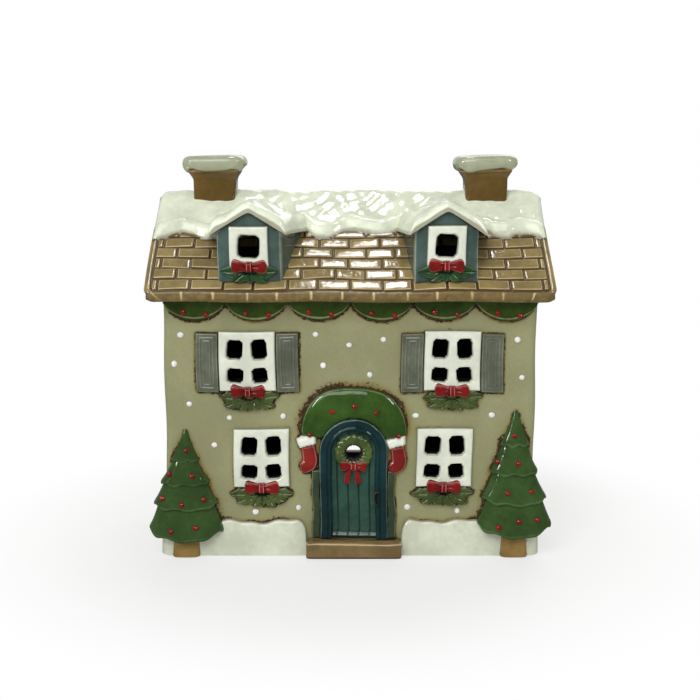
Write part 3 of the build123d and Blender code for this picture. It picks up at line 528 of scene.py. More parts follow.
def tiles(u, v):
    """Height, stain and paleness of the tiles, whose pale edges are thin glaze and a painted highlight: a pillow
    inside the joints of each one.

    A pillow is higher at its lower edge and leans a little. A plain band runs up each verge, and the tiles
    end under the snow.
    """
    rounding, under_snow = 0.8, 41.0
    row = np.floor((v - first_course) / course).astype(int)
    up = (v - first_course) / course - row
    along = u / tile + 0.5 * (row % 2)
    number = np.floor(along).astype(int)
    tilt, shift = np.moveaxis(lean[row % 32, number % 32], -1, 0)
    joint = np.minimum(along - number, 1 - along + number) * tile
    verge = roof_half - np.abs(u)
    on_band, from_band = verge < verge_band, np.abs(verge - verge_band)
    rim = np.minimum.reduce([joint, np.minimum(up, 1 - up) * course, from_band]) - gap / 2
    rim = np.where(on_band, np.minimum(verge_band - verge, from_band) - gap / 2, rim)
    body = ease(rim / rounding)
    rise = body * ((0.85 + 0.1 * shift) * (1.08 - 0.16 * up) + 0.5 * tilt * (along - number - 0.5))
    rise = np.where(on_band, 0.8 * body, rise) * (v < under_snow)
    # Dark joints, and pale tile edges that are thin glaze with a painted highlight.
    return rise, bell(np.maximum(rim, 0), 0.22), 0.95 * bell(rim - 0.45, 0.26)


print(courses, "courses of about", round(2 * roof_half / tile), "tiles")

# %% Roof slopes


def rounded_corner(u, v, front):
    """Pulls points in at the slope's lower corners, as far as a quarter circle asks for at their distance up."""
    radius, fade = 5.0, 14.0
    short = radius - np.clip(v - front, 0, radius)
    pull = radius - np.sqrt(radius**2 - short**2)
    return u - np.sign(u) * pull * glide((np.abs(u) - roof_half + fade) / fade)


def tiled_slope(side, lobes, openings):
    """Wall between the tiled top, which rolls round a fat lip, and the flat underside, with round corners."""
    lip, eave_shade, room = 2.55, 0.6, 13.0
    turn = np.linspace(-np.pi / 2, np.pi / 2, 14)[:-1]
    up = np.concatenate([
        lip_top - lip * np.cos(turn), lines_at(first_course + course * np.arange(courses), course),
        np.linspace(42, slope_length, 8),
    ])
    lift = np.zeros((len(up), 1))
    lift[:len(turn), 0] = lip * np.sin(turn) + 0.5 * glide(turn / 1.2)
    across = lines_at(np.arange(-13, 13) * tile / 2, tile / 2)
    border = roof_half - np.array([0, 0.25, 0.6, 1.1, 1.7, 2.3, 2.55, 2.8, 3.0, 3.25, 3.45, 3.7])
    across = np.r_[-border, across[np.abs(across) < roof_half - verge_band - 1.0], border[::-1]]
    v, u = mesh_of(up, across)
    rise, wash, thin = tiles(u, v)
    lower = (np.arange(len(up)) < len(turn))[:, None]
    joint = tile / 2 - np.abs((u / tile + 0.25) % 1 - 0.5) * tile
    shoulder = np.broadcast_to(glide((lift + 0.6) / 1.5), u.shape)
    lip_wash = 0.56 - 0.4 * bell(joint, 0.1 + 0.25 * shoulder) * shoulder
    # Pale V lines at the lip's joints, where the glaze runs thin, and a painted highlight line along the lip's
    # top.
    lip_thin = np.maximum(bell(joint, 0.1 + 0.22 * shoulder) * shoulder, 0.6 * bell(lift - 2.5, 0.4))
    # Just below the snow's edge the tiles take brown wash and a painted shadow of that edge.
    wash = np.where(lower, lip_wash, np.maximum(wash, bell(v - snow_line(lobes, across) + 0.3, 0.9)))
    thin = np.where(lower, lip_thin, thin)
    for x, half, low, high in openings:
        wash = np.where((np.abs(u - x) < half + 3) & (v > low - 3) & (v < high + 5), unglazed_dark_inside, wash)
    verge = roof_half - np.abs(u)
    tuck = 1 - 0.45 * (1 - ease(verge / 1.8))
    lip_height = -roof_thickness / 2 + lift * tuck - 0.25 * bell(joint, 0.4) * shoulder
    height = np.where(lower, lip_height, rise - 1.2 * (1 - ease(verge / 1.3)))
    v = np.where(lower, lip_top - (lip_top - v) * tuck, v)
    row = np.floor((v - first_course) / course)
    place = u + 0.6 * glide((verge - verge_band) / 6) * np.sin(0.19 * u + 2.4 * row)
    place = rounded_corner(place, v, v.min())
    under = np.linspace(lip_top, slope_length, len(up))[:, None] + 0 * u
    top = on_slope(place, v, height, side)
    bottom = on_slope(rounded_corner(u, under, v.min()), under, -roof_thickness + 0 * u, side)
    middle, beside = face_middles(v), face_middles(place)
    keep = np.ones(middle.shape, bool)
    for x, half, low, high in openings:
        keep &= ~((np.abs(beside - x) < half) & (middle > low) & (middle < high))
    # Underside: painted shade under the eave, and the inside's painted near-black shade further in.
    inside = np.where((np.abs(u) < half_width - 3) & (under > room), unglazed_dark_inside, eave_shade)
    return [shell(top, bottom, keep, wash, thin, inside)]


dormer_x = [float(sum(corner[0] for corner in span(f"{side}_dormer")) / 2) for side in ("left", "right")]
openings = [(x, 7.0, 13.0, 24.0) for x in dormer_x]
for name, side, lobes, cut in (("front", -1, front_lobes, openings), ("rear", 1, rear_lobes, [])):
    slope = tiled_slope(side, lobes, cut)
    make(f"tiled_{name}_roof", slope, tile_glaze, [f"{name}_roof"], crease=80)

# %% [markdown]
# ## Snow on the roof
# The snow is one thick blanket over the ridge with a wavy, rolled edge. Its grid runs along the ridge, and
# across from the front edge over the ridge to the rear one. The edge line was read off the photograph in lobes.
# It is a height over the roof line, and not a sculpted lump, so it can't cut into the tiles.

# %% Roof snow
touching = 1e-6


def snow_blanket():
    """Snow from edge to edge: the roof line with a rounded ridge, plus a thickness that eases in all round."""
    thickness, end_gap, roll, taper = 3.4, 0.4, 2.6, 4.0
    u = np.linspace(-roof_half + end_gap, roof_half - end_gap, 260)
    share = np.concatenate([np.linspace(0, 0.25, 22)[:-1], np.linspace(0.25, 1, 34)])
    reach = [(slope_length - snow_line(lobes, u)) * np.cos(pitch) for lobes in (front_lobes, rear_lobes)]
    y = np.vstack([-reach[0] * (1 - share[:, None]), reach[1] * share[1:, None]])
    u = np.broadcast_to(u, y.shape)
    inward = np.minimum((y + reach[0]) / np.cos(pitch), (reach[1] - y) / np.cos(pitch))
    ends = roof_half - end_gap - np.abs(u)
    tapered = ease(ends / taper)
    depth = (thickness * ease(inward / roll) + 0.7 * bell(inward - 3.0, 2.0)) * tapered
    depth = depth * (1 + 0.12 * np.sin(0.21 * u + 0.4 * np.sin(0.13 * y)) * np.sin(0.23 * y + 0.09 * u))
    ripple = np.sin(0.62 * u + 1.5 * np.sin(0.35 * y)) * np.sin(0.7 * y + 1.2 * np.sin(0.27 * u))
    depth = depth + 0.18 * ripple * ease((inward - 2.5) / 4.0) * ease(ends / 6.0)
    ground = ridge_top - np.tan(pitch) * np.abs(y)
    soft = ridge_top - np.tan(pitch) * np.sqrt(y**2 + 9.0)
    blend = ease(inward / 5.0)
    top = ground * (1 - blend) + soft * blend + depth / np.cos(pitch) + 0.9 * bell(y, 8.0) * blend * tapered
    low = ground - 0.2
    border = (inward < touching) | (ends < touching)
    top = np.where(border, low, np.maximum(top, low))
    wash = bell(inward, 0.35) + 0.2 * bell(inward - 3, 2)
    thin = bell(inward - 2.4, 1.2) * 0.6
    return [sheet(np.stack([u, y, top], -1), wash, thin), sheet(np.stack([u, y, low], -1), 1.0)]


make("snowy_ridge", snow_blanket(), snow_glaze, ["roof_snow"], crease=80)

# %% [markdown]
# ## Chimneys
# Two square stacks flare a little at the top, under caps of snow with drooping rims. Both are stacks of rounded
# loops: for each height, a superellipse with its own half width and depth. A bevelled cube would be too crisp,
# and a loop can flare or droop by a number of its own.

# %% Chimneys


def loop(x, y, half_x, half_y, power, count=72):
    """Superellipse: cosine and sine to the power of two over the power, with their signs."""
    turn = np.linspace(0, 2 * np.pi, count, endpoint=False)
    c, s = (np.sign(part) * np.abs(part) ** (2 / power) for part in (np.cos(turn), np.sin(turn)))
    return x + half_x * c, y + half_y * s, turn


def stacked(x, y, rows, power, droop=0.0, phase=0.0):
    """Loops of (height, half width, half depth, share of the droop), the drooping ones with a wavy rim."""
    made = []
    for height, half_x, half_y, share in rows:
        px, py, turn = loop(x, y, half_x, half_y, power)
        pz = height + droop * share * (np.sin(5 * turn + phase) + 0.6 * np.sin(3 * turn + 2 * phase))
        made.append(np.stack([px, py, pz], -1))
    return np.array(made)


def chimney_stack(side):
    """Loops up the stack, drawn in by the flare, which a smooth step lets out below the top."""
    low, high = span(f"{side}_chimney")
    (x, y, _), (wide, deep, _) = (low + high) / 2, (high - low) / 2
    flare, foot, top = 2.0, low[2] - 2, high[2]
    heights = np.r_[np.linspace(foot, top - 5, 6), np.linspace(top - 4.5, top - 0.8, 8), top, top + 0.4]
    narrow = flare * (1 - glide((heights - top + 5) / 4.5)) + np.where(heights > top - 0.4, 0.7, 0)
    stack = stacked(x, y, [(h, wide - n, deep - n, 0) for h, n in zip(heights, narrow)], power=9.0)
    edge = np.broadcast_to(bell(heights - top + 0.9, 0.7)[:, None], stack.shape[:2])
    make(f"{side}_chimney_stack", [turned(stack, 0, edge)], brick_glaze, [f"{side}_chimney"])


def chimney_cap(side, phase):
    """Loops over a cap of snow: height is a sine and half width a flattened cosine of the same angle."""
    low, high = span(f"{side}_chimney")
    x, y, _ = (low + high) / 2
    low, high = span(f"{side}_chimney_snow")
    wide, deep = 0.97 * (high - low)[:2] / 2
    crown, rim = high[2] - 1.2, low[2] - 0.8
    swell = np.linspace(-1.3, np.pi / 2, 16)
    share = 0.68 + 0.32 * np.cos(swell) ** 0.7
    heights = (crown + rim) / 2 + (crown - rim) / 2 * np.sin(swell)
    rows = [(h, wide * s, deep * s, max(-np.sin(a), 0)) for h, s, a in zip(heights, share, swell)]
    cap = stacked(x, y, rows + [(crown + 0.2, wide * 0.4, deep * 0.4, 0)], power=4.2, droop=0.7, phase=phase)
    under = np.broadcast_to(bell(np.r_[swell, 9] + 1.2, 0.4)[:, None], cap.shape[:2])
    make(f"{side}_chimney_cap", [turned(cap, 0.7 * under, 0)], cap_glaze, [f"{side}_chimney_snow"])


for side, phase in (("left", 0.4), ("right", 2.1)):
    chimney_stack(side)
    chimney_cap(side, phase)

# %% [markdown]
# ## Dormers
# Each dormer is a hollow clay box with a gable front and a square opening. Its skin is a tube: it starts deep
# in the opening, comes out to the front face, spreads to the gable outline and runs back into the roof. That
# gives the opening and its depth without a Boolean cut, which would leave a hard edge.

# %% Dormers
dormer_half, gable_rise, outer_splay = 13.1, 8.3, 5.0


def spread(points, count):
    """Closed outline as evenly spaced points along its length."""
    ring = np.vstack([points, points[:1]])
    along = np.concatenate([[0], np.cumsum(np.linalg.norm(np.diff(ring, axis=0), axis=1))])
    at = np.linspace(0, along[-1], count, endpoint=False)
    return np.stack([np.interp(at, along, ring[:, k]) for k in range(2)], -1)


def rounded_box(low, high, power, count):
    """Superellipse in the wall plane that starts below the middle and goes round by the right."""
    px, pz, _ = loop(*(low + high) / 2, *(high - low) / 2, power, 4 * count)
    return spread(np.roll(np.stack([px, pz], -1), count, axis=0), count)


def level(outline, y):
    """Outline in the wall plane as a loop at depth y."""
    return np.stack([outline[:, 0], np.broadcast_to(y, len(outline)), outline[:, 1]], -1)


def dormer(side, inner_splay):
    """Tube of loops: the opening, the gable's outline, and that outline further back, wider by its splay."""
    low, high = span(f"{side}_dormer")
    x, front, foot, apex = (low[0] + high[0]) / 2, low[1], low[2], high[2]
    half, eave, border, count = dormer_half, apex - gable_rise, 3.5, 120
    outline = [(x, foot), (x + half, foot), (x + half, eave), (x, apex), (x - half, eave), (x - half, foot)]
    gable = spread(np.array(outline), count)
    window_low, window_high = (corner[[0, 2]] for corner in span(f"{side}_dormer_window"))
    hole = rounded_box(window_low + border, window_high - border, 8.0, count)
    middle = np.array([x, foot + 14])
    inner = middle + 0.96 * (gable - middle)
    aside = (gable[:, 0] - x) / half
    splay = np.where(aside * x < 0, inner_splay, outer_splay) * aside
    back = gable + np.stack([splay, 0 * splay], -1)
    rows = [level(hole, front + 8), level(hole, front)]
    rows += [level(hole + q * (inner - hole), front) for q in (0.25, 0.5, 0.75)]
    shrunk = middle + 0.99 * (gable - middle)
    rows += [level(inner, front), level(shrunk, front + 0.25), level(gable, front + 0.9)]
    rows += [level(gable + q * (back - gable), front * (1 - q)) for q in np.linspace(0.08, 0.85, 9)]
    rows = np.array(rows)
    wash = 0.9 * bell(rows[..., 2] - foot, 1.5)
    # The deep opening and the back edge take the inside's painted near-black shade.
    wash[[0, 1, -1]] = unglazed_dark_inside
    thin = np.zeros(rows.shape[:2])
    thin[5:9] = np.where(np.abs(aside) > 0.9, np.array([0.5, 0.9, 0.9, 0.3])[:, None], 0)
    grids = [sheet(rows, wash, thin, wrap_rows=True, wrap_columns=True)]
    make(f"{side}_dormer_walls", grids, slate_glaze, [f"{side}_dormer"], crease=40)


print("dormers at x", np.round(dormer_x, 1))

# %% Snow on the dormers


def dormer_snow(side, inner_splay):
    """Snow over a gable: a thickness above the two slopes that eases in from the front and the lower ends."""
    low, high = span(f"{side}_dormer_snow")
    x, apex, front, rear = (low[0] + high[0]) / 2, span(f"{side}_dormer")[1][2], low[1], 4.0
    depths = np.concatenate([front + 5 * np.linspace(0, 1, 14)[:-1] ** 1.5, np.linspace(front + 5, rear, 20)])
    y, w = mesh_of(depths, np.linspace(-1, 1, 71))
    inner = w * x < 0
    start = np.where(inner, 15.6, 16.8)
    reach = start + np.where(inner, inner_splay, outer_splay) * np.clip((y - front) / -front, 0, 1)
    ground = apex + 0.2 - gable_rise / dormer_half * start * np.sqrt(w**2 + 0.004)
    ends = (1 - np.abs(w)) * reach
    inward = np.minimum(y - front, rear - y)
    depth = ease(ends / 3.0) * ease(inward / 2.4)
    thick = (4.7 + 0.9 * bell(ends - 3.5, 3.0) + 0.4 * np.sin(0.5 * w * reach + 0.2 * y)) * depth
    sag = 0.8 * (1 - ease(inward / 4.0)) + 0.6 * bell(ends, 2.5)
    top = np.where(depth < touching, ground, ground + thick - sag * depth)
    rim = np.minimum(ends, inward)
    upper, lower = (np.stack([x + w * reach, y, height], -1) for height in (top, ground))
    grids = [sheet(upper, bell(rim, 0.3), 0.6 * bell(rim - 1.5, 1.0)), sheet(lower, 1.0)]
    make(f"{side}_dormer_snowcap", grids, snow_glaze, [f"{side}_dormer_snow"], crease=80)


for side, inner_splay in (("left", 14.0), ("right", 8.0)):
    dormer(side, inner_splay)
    dormer_snow(side, inner_splay)

# %% [markdown]
# ## Windows
# A window is a white slab with four openings cut by hand, so their corners are soft. Each quarter is a band of
# faces between its opening and its own rectangle. Quarters share their borders point by point, so they join.
# Such bands follow a wavering hole, as a knife in wet clay leaves it, where straight cuts would look machined.

# %% Outlines of windows
per_side = 22


def steps(stops):
    """Points from stop to stop, an equal number on each stretch, without the last stop."""
    runs = [np.linspace(a, b, per_side, endpoint=False) for a, b in zip(stops[:-1], stops[1:])]
    return np.concatenate(runs)


def rectangle(xs, zs):
    """Loop of points round a rectangle with stops along its sides, from the lower left round by the right."""
    foot, right, top, left = steps(xs), steps(zs), steps(xs[::-1]), steps(zs[::-1])
    across = [foot, 0 * right + xs[-1], top, 0 * left + xs[0]]
    upward = [0 * foot + zs[0], right, 0 * top + zs[-1], left]
    return np.stack([np.concatenate(across), np.concatenate(upward)], -1)


def softened(low, high):
    """Rectangle with its corners pulled in, by the square of how near a point is to a corner."""
    radius, begins = 1.5, 0.55
    points = rectangle(*zip(low, high))
    centre, half = (np.array(low) + np.array(high)) / 2, (np.array(high) - np.array(low)) / 2
    t = (points - centre) / half
    pull = radius * np.clip((np.abs(t).min(1) - begins) / (1 - begins), 0, 1) ** 2
    return points - np.sign(t) * pull[:, None] * 0.5


print("a pane has", len(softened((0, 0), (1, 1))), "points round it")

# %% Windows


def window(node, face, panes, deep):
    """Slab with openings: bands that rise at the slab's rim, dip at each opening and go back into the wall."""
    slab, rounding, lip = 2.0, 0.9, 0.25
    low, high = span(node)
    x0, z0, x1, z1 = low[0], low[2], high[0], high[2]
    bars = {p[2] + 0.5 * (q[0] - p[2]) for p, q in zip(panes[:-1], panes[1:]) if q[0] > p[2]}
    xs, zs = [x0, *bars, x1], sorted({z0, z1, *[(p[3] + q[1]) / 2 for p, q in zip(panes, panes[2:])]})
    q = np.array([0, 0.05, 0.12, 0.22, 0.4, 0.6, 0.78, 0.9, 1.0])[:, None]
    grids = []
    for number, (px0, pz0, px1, pz1) in enumerate(panes):
        row, column = divmod(number, len(xs) - 1)
        cell = rectangle(xs[column:column + 2], zs[row:row + 2])
        hole = softened((px0, pz0), (px1, pz1))
        waver = np.linspace(0, 6 * np.pi, len(hole), endpoint=False) + 3 * number
        hole = hole + 0.18 * np.sin(waver)[:, None]
        px, pz = np.moveaxis(cell + q[..., None] * (hole - cell), -1, 0)
        rim = np.minimum.reduce([px - x0, x1 - px, pz - z0, z1 - pz])
        rise = slab * ease(rim / rounding) - 0.5 * (1 - ease((1 - q) / lip))
        rise = np.where(rim < touching, 0, rise)
        wash = np.maximum(bell(rim, 0.35), 0.55 * bell(1 - q, 0.06))
        small = hole + 0.07 * (hole.mean(0) - hole)
        reveal = [level(hole, face - rise[-1]), *[level(small, face + back) for back in (0.3, 0.7, deep)]]
        # The reveal darkens inwards: painted shade, then the inside's painted near-black shade.
        shade = np.array([[0.5], [0.4], [unglazed_dark_inside], [unglazed_dark_inside]])
        rear = [level(cell, face + deep), level(small, face + deep)]
        grids.append(sheet(np.stack([px, face - rise, pz], -1), wash, wrap_columns=True))
        grids.append(sheet(np.array(reveal), shade, wrap_columns=True))
        grids.append(sheet(np.array(rear), unglazed_dark_inside, wrap_columns=True))
    around = rectangle(xs, zs)
    grids.append(sheet(np.array([level(around, face), level(around, face + deep)]), 1.0, wrap_columns=True))
    halo = 0.8 if face == wall_face else 0
    make(f"fired_{node}", grids, white_glaze, [node], halo=halo, crease=50)


def four_panes(node):
    """The openings: two columns, and a lower row that is shorter than the upper one."""
    low, high = span(node)
    border, bar, drop = 3.5, 3.5, 1.0
    wide, _, tall = (high - low - 2 * border - bar) / 2
    left, right = low[0] + border, high[0] - border - wide
    foot, rail = low[2] + border, high[2] - border - tall - drop
    courses = (foot, tall - drop), (rail, tall + drop)
    return [(a, b, a + wide, b + t) for b, t in courses for a in (left, right)]


bays = ("upper_left", "upper_right", "lower_left", "lower_right")
for bay in bays:
    window(f"{bay}_window", wall_face, four_panes(f"{bay}_window"), 4.0)
for side in ("left", "right"):
    low, high = span(f"{side}_dormer_window")
    pane = (low[0] + 3.6, low[2] + 3.4, high[0] - 3.6, high[2] - 3.4)
    window(f"{side}_dormer_window", span(f"{side}_dormer")[0][1], [pane], 6.0)

# %% [markdown]
# ## Shutters
# The shutters are flat slabs with two rectangles raised on them, one inside the other. The distance from the
# border gives the whole shape: it eases up at the edge and has two small ridges, where the glaze runs thin.
# Raised frames of their own would be sharper than the stamp that pressed these.

# %% Shutters


def shutter(node):
    """Slab whose height is a quarter ellipse of the distance from its border, plus a bell at each ridge."""
    slab, outer_ridge, inner_ridge = 1.6, 2.1, 3.5
    low, high = span(node)
    z, x = mesh_of(np.linspace(low[2], high[2], 110), np.linspace(low[0], high[0], 60))
    rim = np.minimum.reduce([x - low[0], high[0] - x, z - low[2], high[2] - z])
    lines = bell(rim - outer_ridge, 0.3) + 0.9 * bell(rim - inner_ridge, 0.26)
    rise = slab * ease(rim / 0.8) + 0.3 * lines
    wash = np.maximum(bell(rim, 0.3), 0.3 * bell(rim - (outer_ridge + inner_ridge) / 2, 0.3))
    thin = 0.8 * bell(rim - 0.6, 0.3) + 0.75 * lines
    grids = relief(x, z, rise, wash=wash, thin=thin)
    make(f"fired_{node}", grids, shutter_glaze, [node], halo=1.0)


for place in ("left_outer", "left_inner", "right_inner", "right_outer"):
    shutter(f"upper_{place}_shutter")

# %% [markdown]
# ## Bows and holly
# Under each window hangs a ribbon bow over a spray of holly. A bow is two loops and a knot, with creases that
# run into the knot. A leaf is a strip along its midrib with a half width that dips between its points. A cloth
# simulation would fold the ribbon too finely, because the real bows are clay and have few, soft creases.

# %% Bows


def ribbon_loop(x, z, face, side, width, height, depth, lean):
    """Half a bow: half height grows from the knot nearly to the round end; creases run into the knot."""
    waist, swing = 0.68, np.linspace(0, np.pi / 2, 18)
    along = np.r_[np.linspace(0, waist, 20)[:-1], waist + (1 - waist) * np.sin(swing)]
    u, v = mesh_of(along, np.linspace(-1, 1, 34))
    far = np.clip((u - waist) / (1 - waist), 0, 1)
    tall = height / 2 * (0.42 + 0.58 * np.clip(u / 0.85, 0, 1)) * np.sqrt(1 - far**2)
    px = x + side * (0.02 + width / 2 * u)
    pz = z + v * tall + lean * u
    crease = bell(v - 0.1 + 0.2 * u, 0.16) * (1 - glide((u - 0.2) / 0.45))
    crease = crease + 0.7 * bell(v + 0.55 - 0.2 * u, 0.14) * (1 - glide((u - 0.1) / 0.5))
    body = ease((1 - np.abs(v)) / 0.5) * ease((1 - far) / 0.5) * ease(u / 0.06)
    rise = depth * body * (0.78 + 0.22 * np.sin(np.pi * u)) - 0.6 * crease * body
    thin = 0.85 * bell(np.abs(v) - 0.78, 0.1) * glide(u / 0.3) + 0.6 * bell(far - 0.8, 0.1)
    wash = 0.8 * bell(rise / depth, 0.16) + 0.4 * crease
    return relief(px, pz, np.maximum(rise, 0), face=face, wash=wash, thin=thin)


def knot(x, z, face, width, height, depth):
    """Rounded lump, with two pale lines where the ribbon goes round it."""
    u, v = mesh_of(np.linspace(-1, 1, 26), np.linspace(-1, 1, 26))
    rise = depth * ease((1 - np.abs(u)) / 0.6) * ease((1 - np.abs(v)) / 0.5)
    thin = bell(np.abs(v) - 0.5, 0.14) * (rise / depth)
    return relief(x + v * width / 2, z + u * height / 2, rise, face=face, thin=thin)


def bow(node, face):
    """Two loops and a knot that fill the node's box."""
    low, high = span(node)
    (x, _, z), (width, _, height) = (low + high) / 2, high - low
    front = face - low[1]
    grids = ribbon_loop(x, z, face, -1, width, height, front - 0.5, 0.25)
    grids += ribbon_loop(x, z, face, 1, width, height, front - 0.6, -0.2)
    grids += knot(x, z - 0.1, face, 3.3, 0.7 * height, front)
    make(f"fired_{node}", grids, red_glaze, [node], halo=0.6 if face == wall_face else 0)


print("a knot has", len(knot(0, 0, 0, 1, 1, 1)[0][1]), "faces in front")

# %% Holly


def leaf(x, z, face, angle, length, width, depth, points):
    """Strip along the midrib, which is a groove: half width is a hump with dips between the leaf's points."""
    u, v = mesh_of(np.linspace(0, 1, 44), np.linspace(-1, 1, 25))
    dips = 1 - 0.36 * np.abs(np.sin(points * np.pi * u)) * (points > 0)
    along, across = u * length, v * (width / 2 * np.sin(np.pi * u**0.75) * dips + 0.1)
    body = ease((1 - np.abs(v)) / 0.5) * ease((1 - u) / 0.12) * ease(u / 0.12)
    rise = depth * body * (0.85 + 0.3 * np.abs(v)) - 0.3 * bell(v, 0.1) * body
    px = x + along * np.cos(angle) - across * np.sin(angle)
    pz = z + along * np.sin(angle) + across * np.cos(angle)
    thin = (0.9 * bell(np.abs(v) - 0.85, 0.1) + 0.2 * bell(v, 0.06)) * glide(u / 0.2)
    wash = np.maximum(bell(1 - np.abs(v), 0.1), 0.5 * bell(u, 0.2))
    return relief(px, pz, np.maximum(rise, 0), face=face, wash=wash, thin=thin)


def holly(node, face, fan, width, points, finish):
    """Leaves that fan out from the bow as far as an ellipse with the spray's own reach and drop."""
    low, high = span(node)
    x, top = (low[0] + high[0]) / 2, high[2]
    reach, drop = (high[0] - low[0]) / 2, high[2] - low[2] - 1.2
    grids = []
    for turn in fan:
        angle = np.radians(turn + rng.uniform(-4, 4))
        size = 1 / np.sqrt((np.cos(angle) / reach) ** 2 + (np.sin(angle) / drop) ** 2)
        begin = (x + 2.5 * np.cos(angle), top - 2.2 + 0.6 * np.sin(angle))
        length = size * rng.uniform(0.9, 1.04) - 2.0
        grids += leaf(*begin, face, angle, length, width, 1.6 + rng.uniform(0, 0.7), points)
    make(f"fired_{node}", grids, finish, [node], halo=0.9 if face == wall_face else 0)


for bay in bays:
    holly(f"{bay}_holly", wall_face, (178, 204, 236, 270, 304, 336, 2), 8.0, 3, holly_glaze)
    bow(f"{bay}_bow", wall_face)
for side in ("left", "right"):
    dormer_face = span(f"{side}_dormer")[0][1]
    holly(f"{side}_dormer_holly", dormer_face, (180, 0, 218, 322, 270), 5.6, 0, leaf_glaze)
    bow(f"{side}_dormer_bow", dormer_face)

# %% [markdown]
# ## Garlands
# Under the eave hang six swags of greenery, and over the door a plump one follows the arch. Both are strips
# with rounded backs, glossy and smooth, with a pale line where the glaze has run off the lower edge. Needles
# would be wrong here: the potter shows greenery by its colour and outline alone.

# %% Garlands


def eave_garland():
    """Swags side by side: each hangs down by a flattened half ellipse, and is thickest near its lower edge."""
    low, high = span("eave_garland")
    count = 6
    wide = (high[0] - low[0]) / count
    u, v = mesh_of(np.linspace(-1, 1, 70), np.linspace(0, 1, 30))
    hang = (high[2] - low[2]) * (0.1 + 0.9 * np.sqrt(np.clip(1 - u**2, 0, 1)) ** 1.2)
    body = ease((1 - v) / 0.4) * ease((1 - np.abs(u)) / 0.1) * ease(v / 0.05)
    thin = 0.85 * bell(v - 0.86, 0.07)
    wash = np.maximum(0.7 * bell(1 - v, 0.07), bell(1 - np.abs(u), 0.05))
    grids = []
    for number in range(count):
        px = low[0] + wide * (number + 0.5) + 0.505 * wide * u
        rise = body * (2.5 + 0.3 * np.sin(3.0 * u + 4 * v + number) + 0.3 * v)
        grids += relief(px, high[2] - hang * v, np.maximum(rise, 0), wash=wash, thin=thin)
    make("eave_swags", grids, swag_glaze, ["eave_garland"], halo=1.3)


def arch_garland():
    """Crescent between the arch and a wider, squarer arc, which both end where the stockings hang."""
    low, high = span("arch_garland")
    frame_low, frame_high = span("door_frame")
    x = (low[0] + high[0]) / 2
    inner, outer = (frame_high[0] - frame_low[0]) / 2 - 1.2, (high[0] - low[0]) / 2
    inner_z, outer_z = frame_high[2] - inner - 0.6, high[2] - outer
    foot = span("left_stocking")[1][2] - 0.6
    t, v = mesh_of(np.linspace(0, 1, 150), np.linspace(-1, 1, 44))
    arcs = []
    for radius, z, power in ((inner, inner_z, 2.0), (outer, outer_z, 2.6)):
        rest = np.arcsin(np.clip((foot - z) / radius, -0.3, 0.9))
        turn = np.pi - rest - (np.pi - 2 * rest) * t
        aside, above = (np.sign(part) * np.abs(part) ** (2 / power) for part in (np.cos(turn), np.sin(turn)))
        arcs.append(np.stack([x + radius * aside, z + radius * above], -1))
    from_end = np.minimum(t, 1 - t)
    ends = ease(from_end / 0.035)
    place = (arcs[0] + arcs[1]) / 2 + (arcs[1] - arcs[0]) / 2 * (v * (0.55 + 0.45 * ends))[..., None]
    rise = ease((1 - np.abs(v)) / 0.7) * ends * (3.3 + 0.2 * np.sin(21 * t + 3 * v) * np.sin(13 * t))
    thin = 0.8 * bell(v - 0.88, 0.06) + 0.5 * bell(v + 0.9, 0.06)
    wash = np.maximum(0.8 * bell(1 - np.abs(v), 0.07), bell(from_end, 0.008))
    grids = relief(place[..., 0], place[..., 1], np.maximum(rise, 0), wash=wash, thin=thin)
    make("arch_greenery", grids, arch_glaze, ["arch_garland"], halo=2.3)


eave_garland()
arch_garland()

# %% [markdown]
# ## The door
# The door is planked, with a round light hole behind its wreath. A band of blue-green clay arches over it and
# thin jambs flank it. The door's skin is a ring: from its arched border to the rim of the hole and back inside.
# A ring was chosen because it has the hole from the start, and its points crowd where the rim needs them.

# %% Door
ring_low, ring_high = span("wreath")
ring_radius = (ring_high[0] - ring_low[0]) / 2
ring_x, ring_z = (ring_low[0] + ring_high[0]) / 2, ring_high[2] - ring_radius
hole_radius = 3.15


def arched(x, half, foot, spring, count):
    """Outline of a door: a straight foot, two legs and a half circle of the same half width."""
    turn = np.linspace(0, np.pi, 80)
    arc = np.stack([x + half * np.cos(turn), spring + half * np.sin(turn)], -1)
    return spread(np.vstack([[(x, foot), (x + half, foot)], arc, [(x - half, foot)]]), count)


